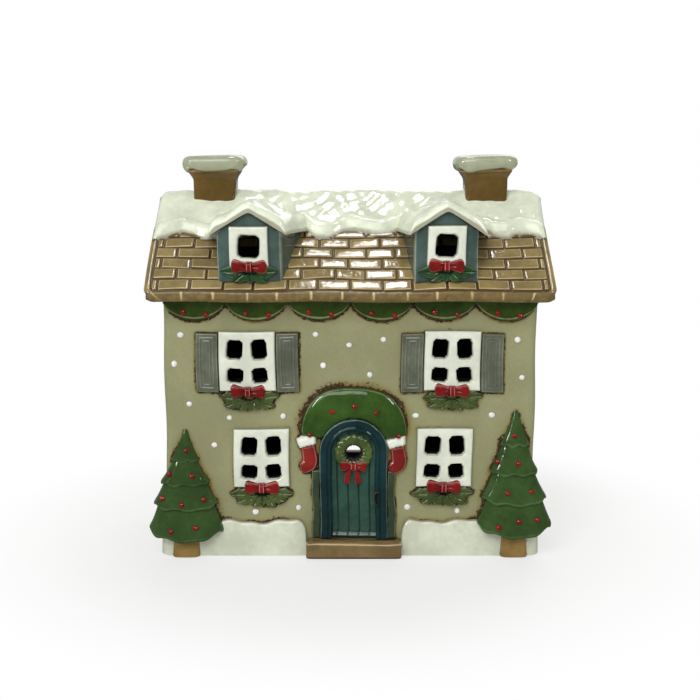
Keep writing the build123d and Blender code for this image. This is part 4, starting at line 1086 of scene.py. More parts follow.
def door():
    """Ring of loops from the arched border to the hole: planks with bells cut along their joints, and a rail."""
    tuck, panel, board, rail_height, count = 0.8, 1.2, 4.6, 1.9, 320
    hole_deep, border_deep = 5.4, 0.8
    low, high = span("door_panel")
    x, half, foot = (low[0] + high[0]) / 2, (high[0] - low[0]) / 2 + tuck, low[2]
    outline = arched(x, half, foot, high[2] - half + tuck, count)
    angle = np.unwrap(np.arctan2(outline[:, 1] - ring_z, outline[:, 0] - ring_x))
    hole = np.stack([ring_x + hole_radius * np.cos(angle), ring_z + hole_radius * np.sin(angle)], -1)
    q = np.linspace(0, 1, 60)[:, None]
    px, pz = np.moveaxis(outline + q[..., None] * (hole - outline), -1, 0)
    beside = ((px - x) / board + 0.5) % 1 * board
    groove = bell(np.minimum(beside, board - beside), 0.32)
    rail = pz - foot - rail_height
    rise = panel * ease(q / 0.03) - 0.5 * groove * glide(rail / 1.2) + 0.9 * bell(rail, 0.8)
    rise[0] = 0
    wash = np.maximum(0.75 * groove * glide(rail), 0.8 * bell(q, 0.04)) + 0.6 * bell(rail - 1.2, 0.8)
    thin = 0.6 * bell(beside - 0.75, 0.25) + 0.12 * bell(rail, 0.35)
    rows = [*np.stack([px, wall_face - rise, pz], -1)]
    rows += [level(hole, wall_face + back) for back in (-0.8, 2.0, hole_deep)]
    for s in (0.5, 1.0):
        rows.append(level(hole + s * (outline - hole), wall_face + hole_deep + s * (border_deep - hole_deep)))
    # Inside the hole the shade is painted in near black.
    inside = np.full((len(rows) - len(q), count), unglazed_dark_inside)
    looks = np.vstack([wash, inside]), np.vstack([thin, 0 * inside])
    grids = [sheet(np.array(rows), *looks, wrap_rows=True, wrap_columns=True)]
    make("planked_door", grids, door_glaze, ["door_panel"], crease=50)


door()

# %% Bands along a path


def band_grid(path):
    """Parameters of a band: t from 0 to 1 along its path and v from -1 to 1 across it."""
    return mesh_of(np.linspace(0, 1, len(path)), np.linspace(-1, 1, 30))


def pillow(t, v, height, edge, end):
    """Height of a band that is rounded along its edges and at both ends, each by a quarter ellipse."""
    return height * ease((1 - np.abs(v)) / edge) * ease(np.minimum(t, 1 - t) / end)


def normals(path):
    """Unit normals of a path in a plane, on the left of its run."""
    ahead = np.gradient(path, axis=0)
    ahead = ahead / np.linalg.norm(ahead, axis=1)[:, None]
    return np.stack([-ahead[:, 1], ahead[:, 0]], -1)


def strip(path, half, v, rise, **looks):
    """Band along a path in the wall plane: each cross line lies on the path's normal, by its half width."""
    half = np.broadcast_to(half, len(path))
    place = path[:, None] + (v * half[:, None])[..., None] * normals(path)[:, None]
    return relief(place[..., 0], place[..., 1], np.maximum(rise, 0), **looks)


print("a band of 5 stops has", band_grid(range(5))[0].size, "points")

# %% Door band and jambs


def door_band():
    """Band up one leg, over a half circle and down the other leg, with a groove along it."""
    low, high = span("door_frame")
    x, half, foot = (low[0] + high[0]) / 2, (high[0] - low[0]) / 2, low[2]
    wide = 5.8
    radius, spring = half - wide / 2, high[2] - half
    turn = np.linspace(0, np.pi, 90)
    legs = np.linspace(foot, spring, 60)[:-1]
    path = np.vstack([
        np.stack([0 * legs + x + radius, legs], -1),
        np.stack([x + radius * np.cos(turn), spring + radius * np.sin(turn)], -1),
        np.stack([0 * legs + x - radius, legs[::-1]], -1),
    ])
    t, v = band_grid(path)
    groove = bell(v - 0.25, 0.12)
    rise = pillow(t, v, 3.0 - 0.5 * groove, 0.4, 0.006)
    thin = 0.95 * bell(v + 0.8, 0.1) + 0.3 * bell(v - 0.5, 0.08)
    wash = np.maximum(bell(1 - np.abs(v), 0.08), 0.5 * groove)
    grids = strip(path, wide / 2, v, rise, thin=thin, wash=wash)
    make("door_band", grids, frame_glaze, ["door_frame"], halo=0.8)


def jambs():
    """Two upright bands whose middle lines waver by a sine."""
    low, high = span("door_jambs")
    wide = 3.4
    z = np.linspace(low[2], high[2], 60)
    grids = []
    for x in (low[0] + wide / 2, high[0] - wide / 2):
        path = np.stack([x + 0.25 * np.sin(0.4 * z), z], -1)
        t, v = band_grid(path)
        thin = 0.9 * bell(np.abs(v) - 0.8, 0.14)
        grids += strip(path, wide / 2, v, pillow(t, v, 2.0, 0.5, 0.03), thin=thin)
    make("door_jamb_posts", grids, jamb_glaze, ["door_jambs"], halo=1.0)


door_band()
jambs()

# %% [markdown]
# ## Wreath, latch and step
# The wreath is a lumpy ring whose hole goes right through the door. Its bow has two tails. The latch is a small
# dark pull, and the step a worn loaf of clay. Leaves could be scattered on the ring, but at this size notches in
# a tube read as leaves, as they do in the clay.

# %% Wreath and its bow


def wreath():
    """Ring tube: a circle carried round a circle, its thickness notched by slanting rows of short leaves."""
    base, bulge, thick = wall_face - 2.1, 1.5, (ring_radius - hole_radius) / 2
    turns = [np.linspace(0, 2 * np.pi, count, endpoint=False) for count in (150, 30)]
    around, tube = mesh_of(*turns)
    leaves = np.abs(np.sin(9 * around + tube)) * (0.6 + 0.4 * np.abs(np.sin(7 * around - 2 * tube)))
    stir = 0.86 + 0.22 * leaves
    radius = ring_radius - thick + thick * np.cos(tube) * stir
    y = base - bulge * np.sin(tube) * stir
    rows = np.stack([ring_x + radius * np.cos(around), y, ring_z + radius * np.sin(around)], -1)
    # Brown wash where the ring meets the door and between leaves; painted near-black shade on its inner side
    # round the hole.
    wash = 0.5 * bell(np.sin(tube) + 0.3, 0.4) + 2.6 * bell(np.cos(tube) + 1, 0.25) + 0.5 * bell(leaves, 0.2)
    thin = 0.5 * bell(leaves - 0.95, 0.12)
    grids = [sheet(rows, wash, thin, wrap_rows=True, wrap_columns=True)]
    make("door_wreath", grids, wreath_glaze, ["wreath"])


def wreath_bow():
    """Two loops, a knot and two tails, which are bands that widen as they hang and swing outwards."""
    low, high = span("wreath_bow")
    face, tall, hang = wall_face - 1.2, 5.6, np.linspace(0, 1, 40)
    x, z, width, front = (low[0] + high[0]) / 2, high[2] - tall / 2, high[0] - low[0], face - low[1]
    grids = []
    for side, lean in ((-1, 0.2), (1, 0.1)):
        grids += ribbon_loop(x, z, face, side, width, tall, front - 0.4, lean)
    for side, swing in ((-1, 1.0), (1, 0.8)):
        aside = 0.4 + 3.2 * swing * hang + 0.5 * np.sin(5 * hang)
        path = np.stack([x + side * aside, z - 0.6 + (low[2] - z + 1.2) * hang], -1)
        t, v = band_grid(path)
        grids += strip(path, 0.8 + 0.7 * hang, v, pillow(t, v, 1.9, 0.45, 0.12), face=face)
    grids += knot(x, z, face, 3.4, 3.6, front + 0.1)
    make("door_wreath_bow", grids, red_glaze, ["wreath_bow"])


wreath()
wreath_bow()

# %% Latch and step


def latch():
    """Upright band that is wider by a bell near its top and by another near its foot."""
    low, high = span("door_latch")
    up = np.linspace(0, 1, 50)
    x, z = (low[0] + high[0]) / 2 - 0.5, low[2] + (high[2] - low[2]) * up
    path = np.stack([x + 0.3 * np.cos(2 * np.pi * up), z], -1)
    t, v = band_grid(path)
    half = 0.7 + 0.55 * bell(up - 0.82, 0.14) + 0.4 * bell(up - 0.12, 0.12)
    grids = strip(path, half, v, pillow(t, v, 1.4, 0.7, 0.2), face=high[1])
    make("door_pull", grids, latch_glaze, ["door_latch"])


def doorstep():
    """Stack of nearly square loops, drawn in at the foot and the top, with a worn, wavy tread."""
    low, high = span("doorstep")
    (x, y, _), (wide, deep, _), tall = (low + high) / 2, (high - low) / 2, high[2] - low[2]
    q = np.array([0, 0.06, 0.2, 0.45, 0.68, 0.8, 0.9, 0.96, 1.0, 1.0])
    inset = np.array([0.5, 0.1, 0, 0.25, 0.1, 0.0, 0.25, 0.7, 1.5, 3.2])
    rows = [(low[2] + tall * a, wide - b, deep - b, 0) for a, b in zip(q, inset)]
    skin = stacked(x, y, rows, power=14.0)
    skin[..., 2] += 0.25 * np.sin(0.35 * skin[..., 0]) * q[:, None] ** 3
    looks = bell(q, 0.1), bell(q - 0.9, 0.08)
    wash, edge = (np.broadcast_to(look[:, None], skin.shape[:2]) for look in looks)
    make("door_step", [turned(skin, wash, edge)], step_glaze, ["doorstep"], halo=1.0)


latch()
doorstep()

# %% [markdown]
# ## Stockings
# A red stocking hangs at each end of the arch. Its foot is a band along a bent middle line with its own half
# widths, and a white cuff leans across its top. A band keeps its rounded back round the bend of the heel, where
# an outline that is pushed out would stay flat.

# %% Stockings


def stocking(side):
    """Foot: a band along a smoothed line of bends with its own half widths. Cuff: a lumpy band over its top."""
    low, high = span(f"{side}_stocking")
    x, top = (low[0] + high[0]) / 2 + 0.3, high[2]
    bends = np.array([(0.3, -3.6), (0.8, -6.5), (1.3, -9.4), (1.1, -11.6), (-0.9, -12.9), (-3.3, -13.2)])
    widths = np.array([3.2, 3.3, 3.5, 3.6, 3.2, 2.5])
    down = np.linspace(0, 1, 60)
    knots = np.linspace(0, 1, len(bends))
    path = np.stack([smoothed(np.interp(down, knots, bend), 8, 5.0) for bend in bends.T], -1)
    half = np.interp(down, knots, widths) * (0.35 + 0.65 * ease((1 - down) / 0.16))
    t, v = band_grid(path)
    rise = 2.6 * ease((1 - np.abs(v)) / 0.7) * ease((1 - t) / 0.12) * ease(t / 0.06)
    foot = strip(path + (x, top), half, v, rise)
    make(f"{side}_stocking_foot", foot, sock_glaze, [f"{side}_stocking"], halo=1.0)
    across = np.stack([-4.2 + 8.0 * down, -3.9 + 2.0 * down + 0.4 * np.sin(np.pi * down)], -1)
    lumps = 2.6 + 0.15 * np.sin(26 * down)
    half = lumps * (0.5 + 0.5 * ease(np.minimum(down, 1 - down) / 0.2))
    cuff = strip(across + (x, top + 0.9), half, v, pillow(t, v, 3.0, 0.8, 0.16))
    make(f"{side}_stocking_cuff", cuff, cuff_glaze, [], halo=0.6)


stocking("left")
stocking("right")

# %% [markdown]
# ## Fir trees and snow drifts
# A tree stands at each front corner, half sunk in the wall. It is a half-turned profile: four skirts that each
# swell from under the one above to a soft hem. Drifts lie along the foot of the wall and turn the corner, each
# a bank carried along a path. Separate branches would look too fine for pressed clay.

# %% Trees
sunk = 0.5


def fir(side, hems, halves):
    """Stack of D-shaped loops: four skirts with soft hems, each starting a little inside the hem above it."""
    low, high = span(f"{side}_tree")
    x, depth = (low[0] + high[0]) / 2, wall_face - low[1]
    shares, sweeps = (0.45, 0.68, 0.86, 1.0), (0.4, 0.8, 2.2, 4.2)
    turn = np.linspace(-np.pi, np.pi, 144, endpoint=False)
    facing, aside = np.clip(np.cos(turn), 0, 1), np.sin(turn) ** 2
    down = np.r_[np.linspace(0.02, 0.84, 11), 0.89, 0.93, 0.97, 1.0]
    rows, looks = [], []
    crown, crown_half, crown_sweep, crown_depth = high[2], 0.7, 0.0, 0.06 * depth
    for number, (hem, half, share, sweep) in enumerate(zip(hems, halves, shares, sweeps)):
        ripple = 0.5 * np.sin(8 * turn + 2 * number) + 0.35 * np.sin(5 * turn + number)
        for q in down:
            flare = 0.75 * q + 0.25 * q**3
            roll = 1 - 0.06 * np.clip((q - 0.84) / 0.16, 0, 1) ** 2
            wide = (crown_half + (half - crown_half) * flare) * roll
            deep = (crown_depth + (depth * share - crown_depth) * q**0.8) * roll
            hang = aside * (crown_sweep + (sweep - crown_sweep) * q)
            rows.append((crown + (hem - crown) * q + ripple * q**6 + hang, wide, deep))
            # A painted highlight band along each hem.
            looks.append((0.5 * bell(q, 0.05) * (number > 0), 0.85 * bell(q - 0.94, 0.05)))
        crown, crown_half, crown_sweep, crown_depth = hem + 0.7, 0.8 * half, sweep, 0.82 * depth * share
    rows.append((hem + 1.2 + sweep * aside, 0.7 * half, 0.7 * depth))
    looks.append((1.0, 0.0))
    skin = []
    for z, wide, deep in rows:
        y = np.where(facing > 0, wall_face - deep * facing**0.75, wall_face + sunk)
        skin.append(np.stack([x + wide * np.sin(turn), y, z], -1))
    skin = np.array(skin)
    wash, thin = (np.broadcast_to(np.array(values)[:, None], skin.shape[:2]) for values in zip(*looks))
    grids = [turned(skin, wash, thin)]
    make(f"{side}_fir", grids, fir_glaze, [f"{side}_tree"], halo=2.2, crease=70)


def trunk(side):
    """Stack of rounded loops, cut off flat a little behind the wall's face."""
    low, high = span(f"{side}_tree")
    bulges = ((0, 0.2), (0.6, 0.4), (4, 0.1), (9, -0.2), (12, -0.8))
    rows = [(height, 5.7 + bulge, 5.4 + bulge, 0) for height, bulge in bulges]
    skin = stacked((low[0] + high[0]) / 2, wall_face, rows, power=4.0)
    skin[..., 1] = np.minimum(skin[..., 1], wall_face + sunk)
    make(f"{side}_fir_trunk", [turned(skin, 0.25, 0.3)], trunk_glaze, [], halo=1.0)


hems = {"left": (41.0, 31.1, 20.5, 7.2), "right": (48.1, 35.9, 23.1, 9.2)}
halves = {"left": (6.4, 11.2, 14.6, 17.1), "right": (6.9, 10.8, 14.6, 17.0)}
for side in ("left", "right"):
    fir(side, hems[side], halves[side])
    trunk(side)

# %% Drifts
wall_corner = 3.0


def drift(side, sign):
    """Quarter-round bank carried along the wall's foot and round the corner, its crest a sum of sines."""
    low, high = span(f"{side}_snow_drift")
    begin = high[0] if sign < 0 else low[0]
    corner, radius, bank = sign * half_width, wall_corner, 2.9
    run = np.linspace(begin, corner - sign * radius, 110)
    turn = np.linspace(0, np.pi / 2, 14)[1:]
    side_run = np.linspace(wall_face + radius, high[1], 40)[1:]
    bend_x = corner - sign * radius + sign * radius * np.sin(turn)
    path = np.vstack([
        np.stack([run, 0 * run + wall_face], -1),
        np.stack([bend_x, wall_face + radius - radius * np.cos(turn)], -1),
        np.stack([0 * side_run + corner, side_run], -1),
    ])
    outward = normals(path)
    outward = np.where((outward * path).sum(1, keepdims=True) < 0, -outward, outward)
    along = np.cumsum(np.r_[0, np.linalg.norm(np.diff(path, axis=0), axis=1)])
    fall = glide((along[-1] - along) / 20)
    crest = high[2] - 1.2 + 0.7 * np.sin(0.26 * along + 0.6 * sign) + 0.35 * np.sin(0.61 * along)
    crest = crest * (0.06 + 0.94 * fall) * (0.6 + 0.4 * ease(along / 4.5))
    swell = np.linspace(0, np.pi / 2, 16)
    out = np.r_[bank * np.cos(swell) ** 0.55, -0.5, -0.5]
    up = np.r_[np.sin(swell) ** 0.8, 0.9, 0.0]
    place = path[:, None] + out[None, :, None] * outward[:, None]
    rows = np.concatenate([place, (crest[:, None] * up)[..., None]], -1)
    wash = np.broadcast_to(np.r_[bell(swell - np.pi / 2, 0.3), 1, 1], rows.shape[:2])
    make(f"{side}_drift", [turned(rows, wash, 0)], drift_glaze, [f"{side}_snow_drift"], halo=2.0)


drift("left", -1)
drift("right", 1)

# %% [markdown]
# ## Berries and falling snow
# Red berries sit on the greenery, and white dots of falling snow on the wall. The frame lists these studs one
# after the other with equal numbers of corners, so their middles can be read from its mesh in one step. The
# trees get a few berries more. Where a berry sits is found by a ray sent at the finished greenery, so none
# floats, which places typed in by hand could not promise.

# %% Where the studs sit
berry_count, dot_count = 25, 19
greenery = ["eave_swags", "arch_greenery", "door_wreath"]
greenery += [f"{side}_{piece}" for piece in ("fir", "stocking_cuff") for side in ("left", "right")]
more_berries = {
    "left": ((3.5, 0.646), (-9.5, 0.47), (-1.0, 0.427), (4.5, 0.247)),
    "right": ((1.2, 0.648), (-3.3, 0.451), (9.2, 0.269), (1.2, 0.262)),
}


def studs(node, count):
    """Middle and back of each stud: the corners as equal groups."""
    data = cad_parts[node].data
    corners = np.zeros(len(data.vertices) * 3, np.float32)
    data.vertices.foreach_get("co", corners)
    groups = corners.reshape(count, -1, 3) / MM
    return (groups.min(1) + groups.max(1)) / 2, groups.max(1)[:, 1]


def on_tree(side):
    """Places of a tree's further berries, from how far aside and at what share of the tree's height they sit."""
    low, high = span(f"{side}_tree")
    foot = np.array([(low[0] + high[0]) / 2, 0, low[2]])
    return [foot + (aside, 0, share * (high[2] - low[2])) for aside, share in more_berries[side]]


def fronts(centres, names):
    """Front of the named pieces at each stud, found by a ray sent straight back from before the house."""
    bpy.context.view_layer.update()
    graph = bpy.context.evaluated_depsgraph_get()
    skins = [BVHTree.FromObject(bpy.data.objects[name], graph) for name in names]
    rays = [[skin.ray_cast((x * MM, -0.2, z * MM), (0, 1, 0))[0] for skin in skins] for x, _, z in centres]
    return [min((hit.y / MM for hit in hits if hit), default=wall_face) for hits in rays]


centres = np.vstack([studs("berries", berry_count)[0], on_tree("left"), on_tree("right")])
print(len(centres), "berries and", dot_count, "dots of snow")

# %% Berries and dots


def domes(centres, bases, radius, height, name, finish, node, slot):
    """Half balls: rings of shrinking radius, one grid per stud."""
    lifts = np.array([-0.5, 0.0, 0.35, 0.65, 0.86, 0.97])
    lift, turn = mesh_of(lifts, np.linspace(0, 2 * np.pi, 18, endpoint=False))
    ring = np.where(lift < 0, 0.95, np.sqrt(1 - np.clip(lift, 0, 1) ** 2))
    grids = []
    for (x, _, z), base in zip(centres, bases):
        wide, tall = radius * rng.uniform(0.85, 1.12, 2)
        px, pz = x + wide * ring * np.cos(turn), z + tall * ring * np.sin(turn)
        # The wash at each foot is brown on the berries, and a painted grey shadow ring on the falling snow.
        grids.append(turned(np.stack([px, base - height * lift, pz], -1), bell(lift, 0.25), 0))
    make(name, grids, finish, [node])


domes(centres, fronts(centres, greenery), 1.15, 1.2, "red_berries", berry_glaze, "berries", "berry_glaze")
domes(*studs("snow_dots", dot_count), 1.3, 0.75, "falling_snow", dot_glaze, "snow_dots", "snow_glaze")

# %% [markdown]
# ## The walls
# The front wall comes last, because the brown wash hugs whatever stands on it. The footprints of all pieces are
# counted into a fine raster of the wall and blurred, and each point of the wall takes its stain from there. A
# stain painted by hand would have to be redone whenever a piece moves.

# %% Front wall
wall_glaze = glaze(
    "sage wall glaze", (151, 151, 113), pool=0.92, runs=0.3, gloss=0.12, wave=0.14,
    brown=paint(68, 44, 17), ragged=True,
)


def stained(x, z):
    """Blurred footprints at points of the wall: a narrow bell for all pieces and a wide one for heavy stains."""
    cell, margin = 0.5, 12.0
    blurs = ((0.6, 0.0, 1.0), (2.8, 1.0, 1.3))
    shape = (int((2 * half_width + 2 * margin) / cell), int((wall_high[2] + 2 * margin) / cell))
    origin = np.array([-half_width - margin, -margin])
    last = np.array(shape) - 1
    waves = [np.fft.fftfreq(size, cell) for size in shape]
    distance = waves[0][:, None] ** 2 + waves[1][None] ** 2
    soft = 0
    for reach, least, most in blurs:
        raster = np.zeros(shape)
        for places, weight in footprints:
            across, up = np.floor((places - origin) / cell).astype(int).clip(0, last).T
            raster[across, up] = np.maximum(raster[across, up], np.clip(weight - least, 0, most))
        blur = np.exp(-2 * (np.pi * reach) ** 2 * distance)
        soft = soft + np.fft.ifft2(np.fft.fft2(raster) * blur).real
    places = np.stack([x, z], -1)
    across, up = np.moveaxis(np.floor((places - origin) / cell).astype(int).clip(0, last), -1, 0)
    return soft[across, up]


def front_wall():
    """Wall between a front with round corners and a flat back, open behind the panes and the wreath's hole."""
    radius, thick, lower_front, count = wall_corner, 5.0, 3.9, 226
    opening_half, hole_clear = (10.2, 11.0), 4.3
    turn = np.linspace(0, np.pi / 2, 8)
    bend_x, bend_y = -half_width + radius - radius * np.cos(turn), wall_face + radius - radius * np.sin(turn)
    bend = np.stack([bend_x, bend_y], -1)
    flat = np.linspace(-half_width + radius, half_width - radius, count)[1:-1]
    left, right = ([(end, wall_face + thick)] for end in (-half_width, half_width))
    path = np.vstack([left, bend, np.stack([flat, 0 * flat + wall_face], -1), bend[::-1] * (-1, 1), right])
    share, x = mesh_of(np.linspace(0, 1, 162), path[:, 0])
    y = np.broadcast_to(path[:, 1], x.shape)
    z = share * (wall_high[2] - lower_front)
    front = np.stack([x, y, z], -1)
    back = np.stack([x, 0 * y + wall_face + thick, share * wall_high[2]], -1)
    across, up = face_middles(x), face_middles(z)
    keep = np.hypot(across - ring_x, up - ring_z) > hole_clear
    for bay in bays:
        low, high = span(f"{bay}_window")
        middle = (low + high) / 2
        keep &= ~((np.abs(across - middle[0]) < opening_half[0]) & (np.abs(up - middle[2]) < opening_half[1]))
    wash = np.clip(stained(x, z), 0, 1.5) * (1 - ease((y - wall_face) / radius))
    thin = 0.25 * bell(np.abs(x) - half_width + 1.2, 1.2)
    # The wall's back and the rims of its openings take the inside's painted near-black shade.
    grids = [shell(front, back, keep, wash, thin, unglazed_dark_inside)]
    make("glazed_front_wall", grids, wall_glaze, ["front_wall"], crease=50)


front_wall()

# %% [markdown]
# ## Plain walls, floor and the inside
# The gables, the rear wall and the floor are right as solids, so they only take finishes. Nobody glazes the
# inside
# of such a house: there the same clay is left unglazed, with its shade painted in near black, by asking how far
# a point is from the outside.

# %% Plain walls
mouth_half, mouth_sill, mouth_spring = 24.0 * MM, 26.0 * MM, 52.0 * MM
room_half_width, room_half_depth = 76.5 * MM, 38.5 * MM


def weathered(material):
    """Finish of the plain walls by place: painted near-black shade within the inner faces, and brown rubbed
    round the rear mouth.

    The way to the mouth is the distance to its arch, or to its sill where that is further.
    """
    rub_from, rub_to, tear = 0.0015, 0.0035, 0.004
    start = Wire(material.node_tree)
    shader = material.node_tree.nodes["Principled BSDF"]
    place = start.node("ShaderNodeTexCoord", {}, {}, "Object")
    x, y, z = place.parts()
    above = start.maths("MAXIMUM", z - mouth_spring, 0.0)
    round_mouth = start.maths("SQRT", x * x + above * above) - mouth_half
    edge = start.maths("MAXIMUM", round_mouth, mouth_sill - z)
    torn = start.noise(place, 700.0, 4.0) * tear
    browned = (1 - (edge + torn).step(rub_from, rub_to)) * start.maths("GREATER_THAN", y, room_half_depth)
    narrow = start.maths("LESS_THAN", start.maths("ABSOLUTE", x), room_half_width)
    inside = narrow * start.maths("LESS_THAN", start.maths("ABSOLUTE", y), room_half_depth)
    sockets = [shader.inputs[key].links[0].from_socket for key in ("Base Color", "Roughness")]
    colour, rough = (Wire(start.tree, socket) for socket in sockets)
    colour = browned.blend(colour, paint(66, 44, 18))
    # Inside the room, the shade is painted in near black.
    inside.blend(colour, inside_shade_colour).into(shader.inputs["Base Color"])
    (rough + 0.6 * inside).into(shader.inputs["Roughness"])


weathered(wall_glaze)
clay = glaze("bare clay", (150, 132, 108), runs=0, brown_strength=0, gloss=0.6, wave=0.3)
finishes = {"left_gable_wall": wall_glaze, "right_gable_wall": wall_glaze, "rear_wall": wall_glaze}
for node, finish in {**finishes, "floor_slab": clay}.items():
    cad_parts[node].data.materials.clear()
    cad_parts[node].data.materials.append(finish)
    print(node, "takes", finish.name)

# %% [markdown]
# ## The tealight
# The house is made to stand over a tealight, which goes in through the arch at the back. Its cup is pressed
# aluminium with a rolled rim; the wax has set with a shallow dish round the wick. All three are profiles turned
# round one axis, as the real ones are pressed and poured, so the wave of the hand leaves them out.

# %% Turned pieces and their finishes
candle_x, candle_y, _ = sum(span("tealight_cup")) / 2


def lathe(profile, count=64):
    """Profile of (radius, height) points turned once round the candle's axis."""
    turn = np.linspace(0, 2 * np.pi, count, endpoint=False)
    profile = np.array(profile, float)
    ring = np.stack([np.cos(turn), np.sin(turn)], -1)
    flat = np.array([candle_x, candle_y]) + profile[:, None, :1] * ring
    return turned(np.concatenate([flat, np.broadcast_to(profile[:, None, 1:], (*flat.shape[:2], 1))], -1))


def plain_finish(name, colour, scale, shade, dull, swing, metallic=0.0, soften=0.0):
    """Unglazed finish: a noise takes the colour from shade times itself to itself, and adds swing to dull."""
    material, shader, start, place = new_finish(name)
    cloud = start.noise(place, scale)
    cloud.step(0.3, 0.7).blend(paint(*colour, lift=shade), paint(*colour)).into(shader.inputs["Base Color"])
    (dull + swing * cloud).into(shader.inputs["Roughness"])
    shader.inputs["Metallic"].default_value = metallic
    shader.inputs["Subsurface Weight"].default_value = soften
    shader.inputs["Subsurface Scale"].default_value = 0.004
    return material


def candle_piece(name, profile, finish, node, count=64):
    """Turned piece that rides on the tealight's own body and keeps its machine-made shape."""
    make(name, [lathe(profile, count)], finish, [node], body="tealight", hand=0)


print("the candle stands at", round(candle_x, 1), round(candle_y, 1))

# %% Tealight
aluminium = plain_finish("pressed aluminium", (226, 226, 224), 260.0, 0.85, 0.38, 0.15, metallic=1.0)
wax = plain_finish("candle wax", (238, 230, 210), 180.0, 0.9, 0.4, 0.2, soften=0.4)
cotton = plain_finish("waxed cotton", (214, 204, 182), 180.0, 0.9, 0.4, 0.2)
low, high = span("tealight_cup")
radius, foot, rim = (high[0] - low[0]) / 2, low[2], high[2]
outer_wall = [(1.2, foot), (0.4, foot + 0.3), (0.1, foot + 1.0), (0.25, foot + 8), (0.2, rim - 1.0)]
rolled_rim = [(0, rim - 0.5), (0.15, rim - 0.05), (0.4, rim - 0.2)]
inner_wall = [(0.6, rim - 0.9), (0.6, foot + 1.2), (1.3, foot + 0.6)]
cup = [(radius - inset, height) for inset, height in outer_wall + rolled_rim + inner_wall]
candle_piece("tealight_tin", cup, aluminium, "tealight_cup")
low, high = span("tealight_wax")
foot, top, reach = low[2], high[2], (high[0] - low[0]) / 2 - 0.15
side_wall = [(reach - 0.5, foot + 0.2), (reach, foot + 0.8), (reach, top - 0.8), (reach - 0.3, top - 0.2)]
dish = [(reach - 1.2, top), (reach * 0.6, top - 0.25), (reach * 0.3, top - 0.7)]
wick_collar = [(1.4, top - 0.9), (1.0, top - 0.4)]
candle_piece("tealight_candle", side_wall + dish + wick_collar, wax, "tealight_wax")
low, high = span("tealight_wick")
up = np.linspace(0, 1, 24)
twist = 0.8 - 0.12 * np.cos(9 * np.pi * up) - 0.25 * up**4
thread = np.column_stack([twist, low[2] + (high[2] - low[2]) * up])
candle_piece("tealight_thread", thread, cotton, "tealight_wick", 16)

# %% [markdown]
# ## The floor
# The photograph is a plain product shot, white all round. The floor is a wide grid that takes the contact
# shadow. Further off, rays from the camera see it as pure white, and the glaze sees it dim, so that no piece
# looks washed out from below. A curved backdrop would show its bend in the gloss.

# %% Floor


def ray_kinds(start):
    """Whether a ray comes from the camera or through glass, and whether it comes off a glossy surface."""
    sockets = start.node("ShaderNodeLightPath", {}, {}).socket.node.outputs
    kinds = "Camera", "Transmission", "Glossy"
    camera, glass, glossy = (Wire(start.tree, sockets[f"Is {kind} Ray"]) for kind in kinds)
    return start.maths("MAXIMUM", camera, glass), glossy


def floor_finish():
    """White floor that keeps the contact shadow and fades to pure white away from the house."""
    shadow_ends, white_begins, near_white, seen_in_glaze = 0.1, 0.19, 0.55, 0.12
    material, shader, start, place = new_finish("studio floor")
    shader.inputs["Base Color"].default_value = (0.95, 0.95, 0.94, 1)
    shader.inputs["Roughness"].default_value = 0.7
    far = start.node("ShaderNodeVectorMath", {"operation": "LENGTH"}, {0: place}, "Value")
    far = far.step(shadow_ends, white_begins)
    seen, glossy = ray_kinds(start)
    white, dim = (
        start.node("ShaderNodeEmission", {}, {"Color": (1, 1, 1, 1), "Strength": strength})
        for strength in (1.0, seen_in_glaze)
    )
    share = (near_white + (1 - near_white) * far) * seen
    plain = Wire(start.tree, shader.outputs[0])
    mixed = start.node("ShaderNodeMixShader", {}, {0: share, 1: plain, 2: white})
    mixed = start.node("ShaderNodeMixShader", {}, {0: glossy, 1: mixed, 2: dim})
    mixed.into(start.tree.nodes["Material Output"].inputs["Surface"])
    return material


floor_half, floor_drop = 6.0, 0.0002
fx, fy = mesh_of(*[np.linspace(-floor_half, floor_half, 41)] * 2)
ground = sheet(np.stack([fx, fy, 0 * fx - floor_drop], -1))
floor_mesh = bpy.data.meshes.new("studio_floor")
floor_mesh.from_pydata(ground[0].tolist(), [], ground[1].tolist())
floor_mesh.materials.append(floor_finish())
floor = bpy.data.objects.new("studio_floor", floor_mesh)
bpy.context.scene.collection.objects.link(floor)
print("floor", len(floor_mesh.polygons), "faces")

# %% [markdown]
# ## Light
# An even white world and a large soft lamp in front light the house, and a weaker one lights its back. Gloss
# needs something to mirror: a small window over the roof, whose reflection lies on the tiles between the
# dormers, and a strip at each side. Those three are seen only in reflections, so the colours keep their plain
# level.

# %% World


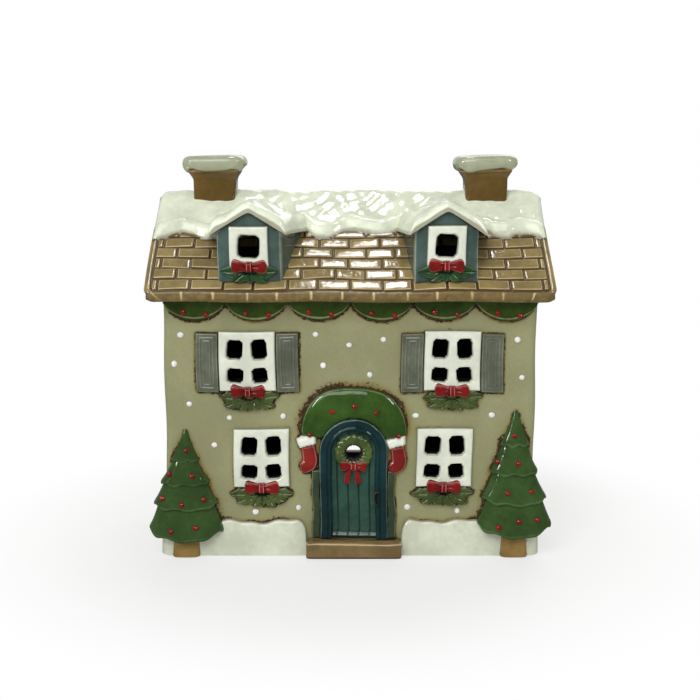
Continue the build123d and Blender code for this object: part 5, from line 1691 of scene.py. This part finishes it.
def studio_world():
    """White to the camera, an even grey to the object's colours, and dark to its gloss except from behind."""
    even, gloss_front, gloss_behind = 0.46, 0.1, 0.5
    world = bpy.data.worlds.new("studio")
    bpy.context.scene.world = world
    world.use_nodes = True
    start = Wire(world.node_tree)
    seen, glossy = ray_kinds(start)
    _, back, _ = start.node("ShaderNodeTexCoord", {}, {}, "Generated").parts()
    mirrored = gloss_front + gloss_behind * back.step(0.25, 0.8)
    background = world.node_tree.nodes["Background"]
    strength = seen + (1 - seen) * (glossy * mirrored + (1 - glossy) * even)
    strength.into(background.inputs["Strength"])
    background.inputs["Color"].default_value = (1, 1, 1, 1)


studio_world()
print("world", bpy.context.scene.world.name)

# %% Lamps


def lamp(name, place, aim, size, power, glint=False):
    """Rectangular soft lamp at a place, turned towards a point; a glint is seen only in the glaze's gloss."""
    data = bpy.data.lights.new(name, "AREA")
    data.shape = "RECTANGLE"
    data.size, data.size_y = size
    data.energy = power
    thing = bpy.data.objects.new(name, data)
    bpy.context.scene.collection.objects.link(thing)
    back = np.array(place) - np.array(aim)
    thing.location = place
    thing.rotation_euler = (np.arctan2(np.hypot(*back[:2]), back[2]), 0, np.arctan2(back[0], -back[1]))
    thing.visible_diffuse = not glint


house_middle, house_foot = (0, 0, 0.08), (0, 0, 0.06)
lamp("front softbox", (-0.5, -1.5, 1.5), house_middle, (1.4, 1.2), 23.5)
lamp("rear softbox", (0.45, 1.5, 1.2), house_middle, (1.4, 1.2), 10.0)
lamp("roof window", (0.005, 0.05, 0.73), (0.005, 0.0499, 0.1), (0.1, 0.12), 1.0, glint=True)
lamp("left strip", (-0.75, -0.65, 0.62), house_foot, (0.12, 0.5), 6.0, glint=True)
lamp("right strip", (0.75, -0.6, 0.72), house_foot, (0.1, 0.36), 3.5, glint=True)
print("lamps", len(bpy.data.lights))

# %% [markdown]
# ## Camera
# The camera looks a little down at the front, from half a metre away, as in the photograph.

# %% Camera
eye = np.array([0.0, -535.8, 167.8]) * MM
tilt = 9.0
data = bpy.data.cameras.new("product view")
data.lens, data.sensor_width = 60.94, 36.0
camera = bpy.data.objects.new("product view", data)
camera.location = eye
camera.rotation_euler = (np.radians(90 - tilt), 0, 0)
bpy.context.scene.collection.objects.link(camera)
bpy.context.scene.camera = camera
bpy.context.scene.view_settings.view_transform = "Standard"
print("camera at", eye.round(3), "looks down by", tilt, "degrees")
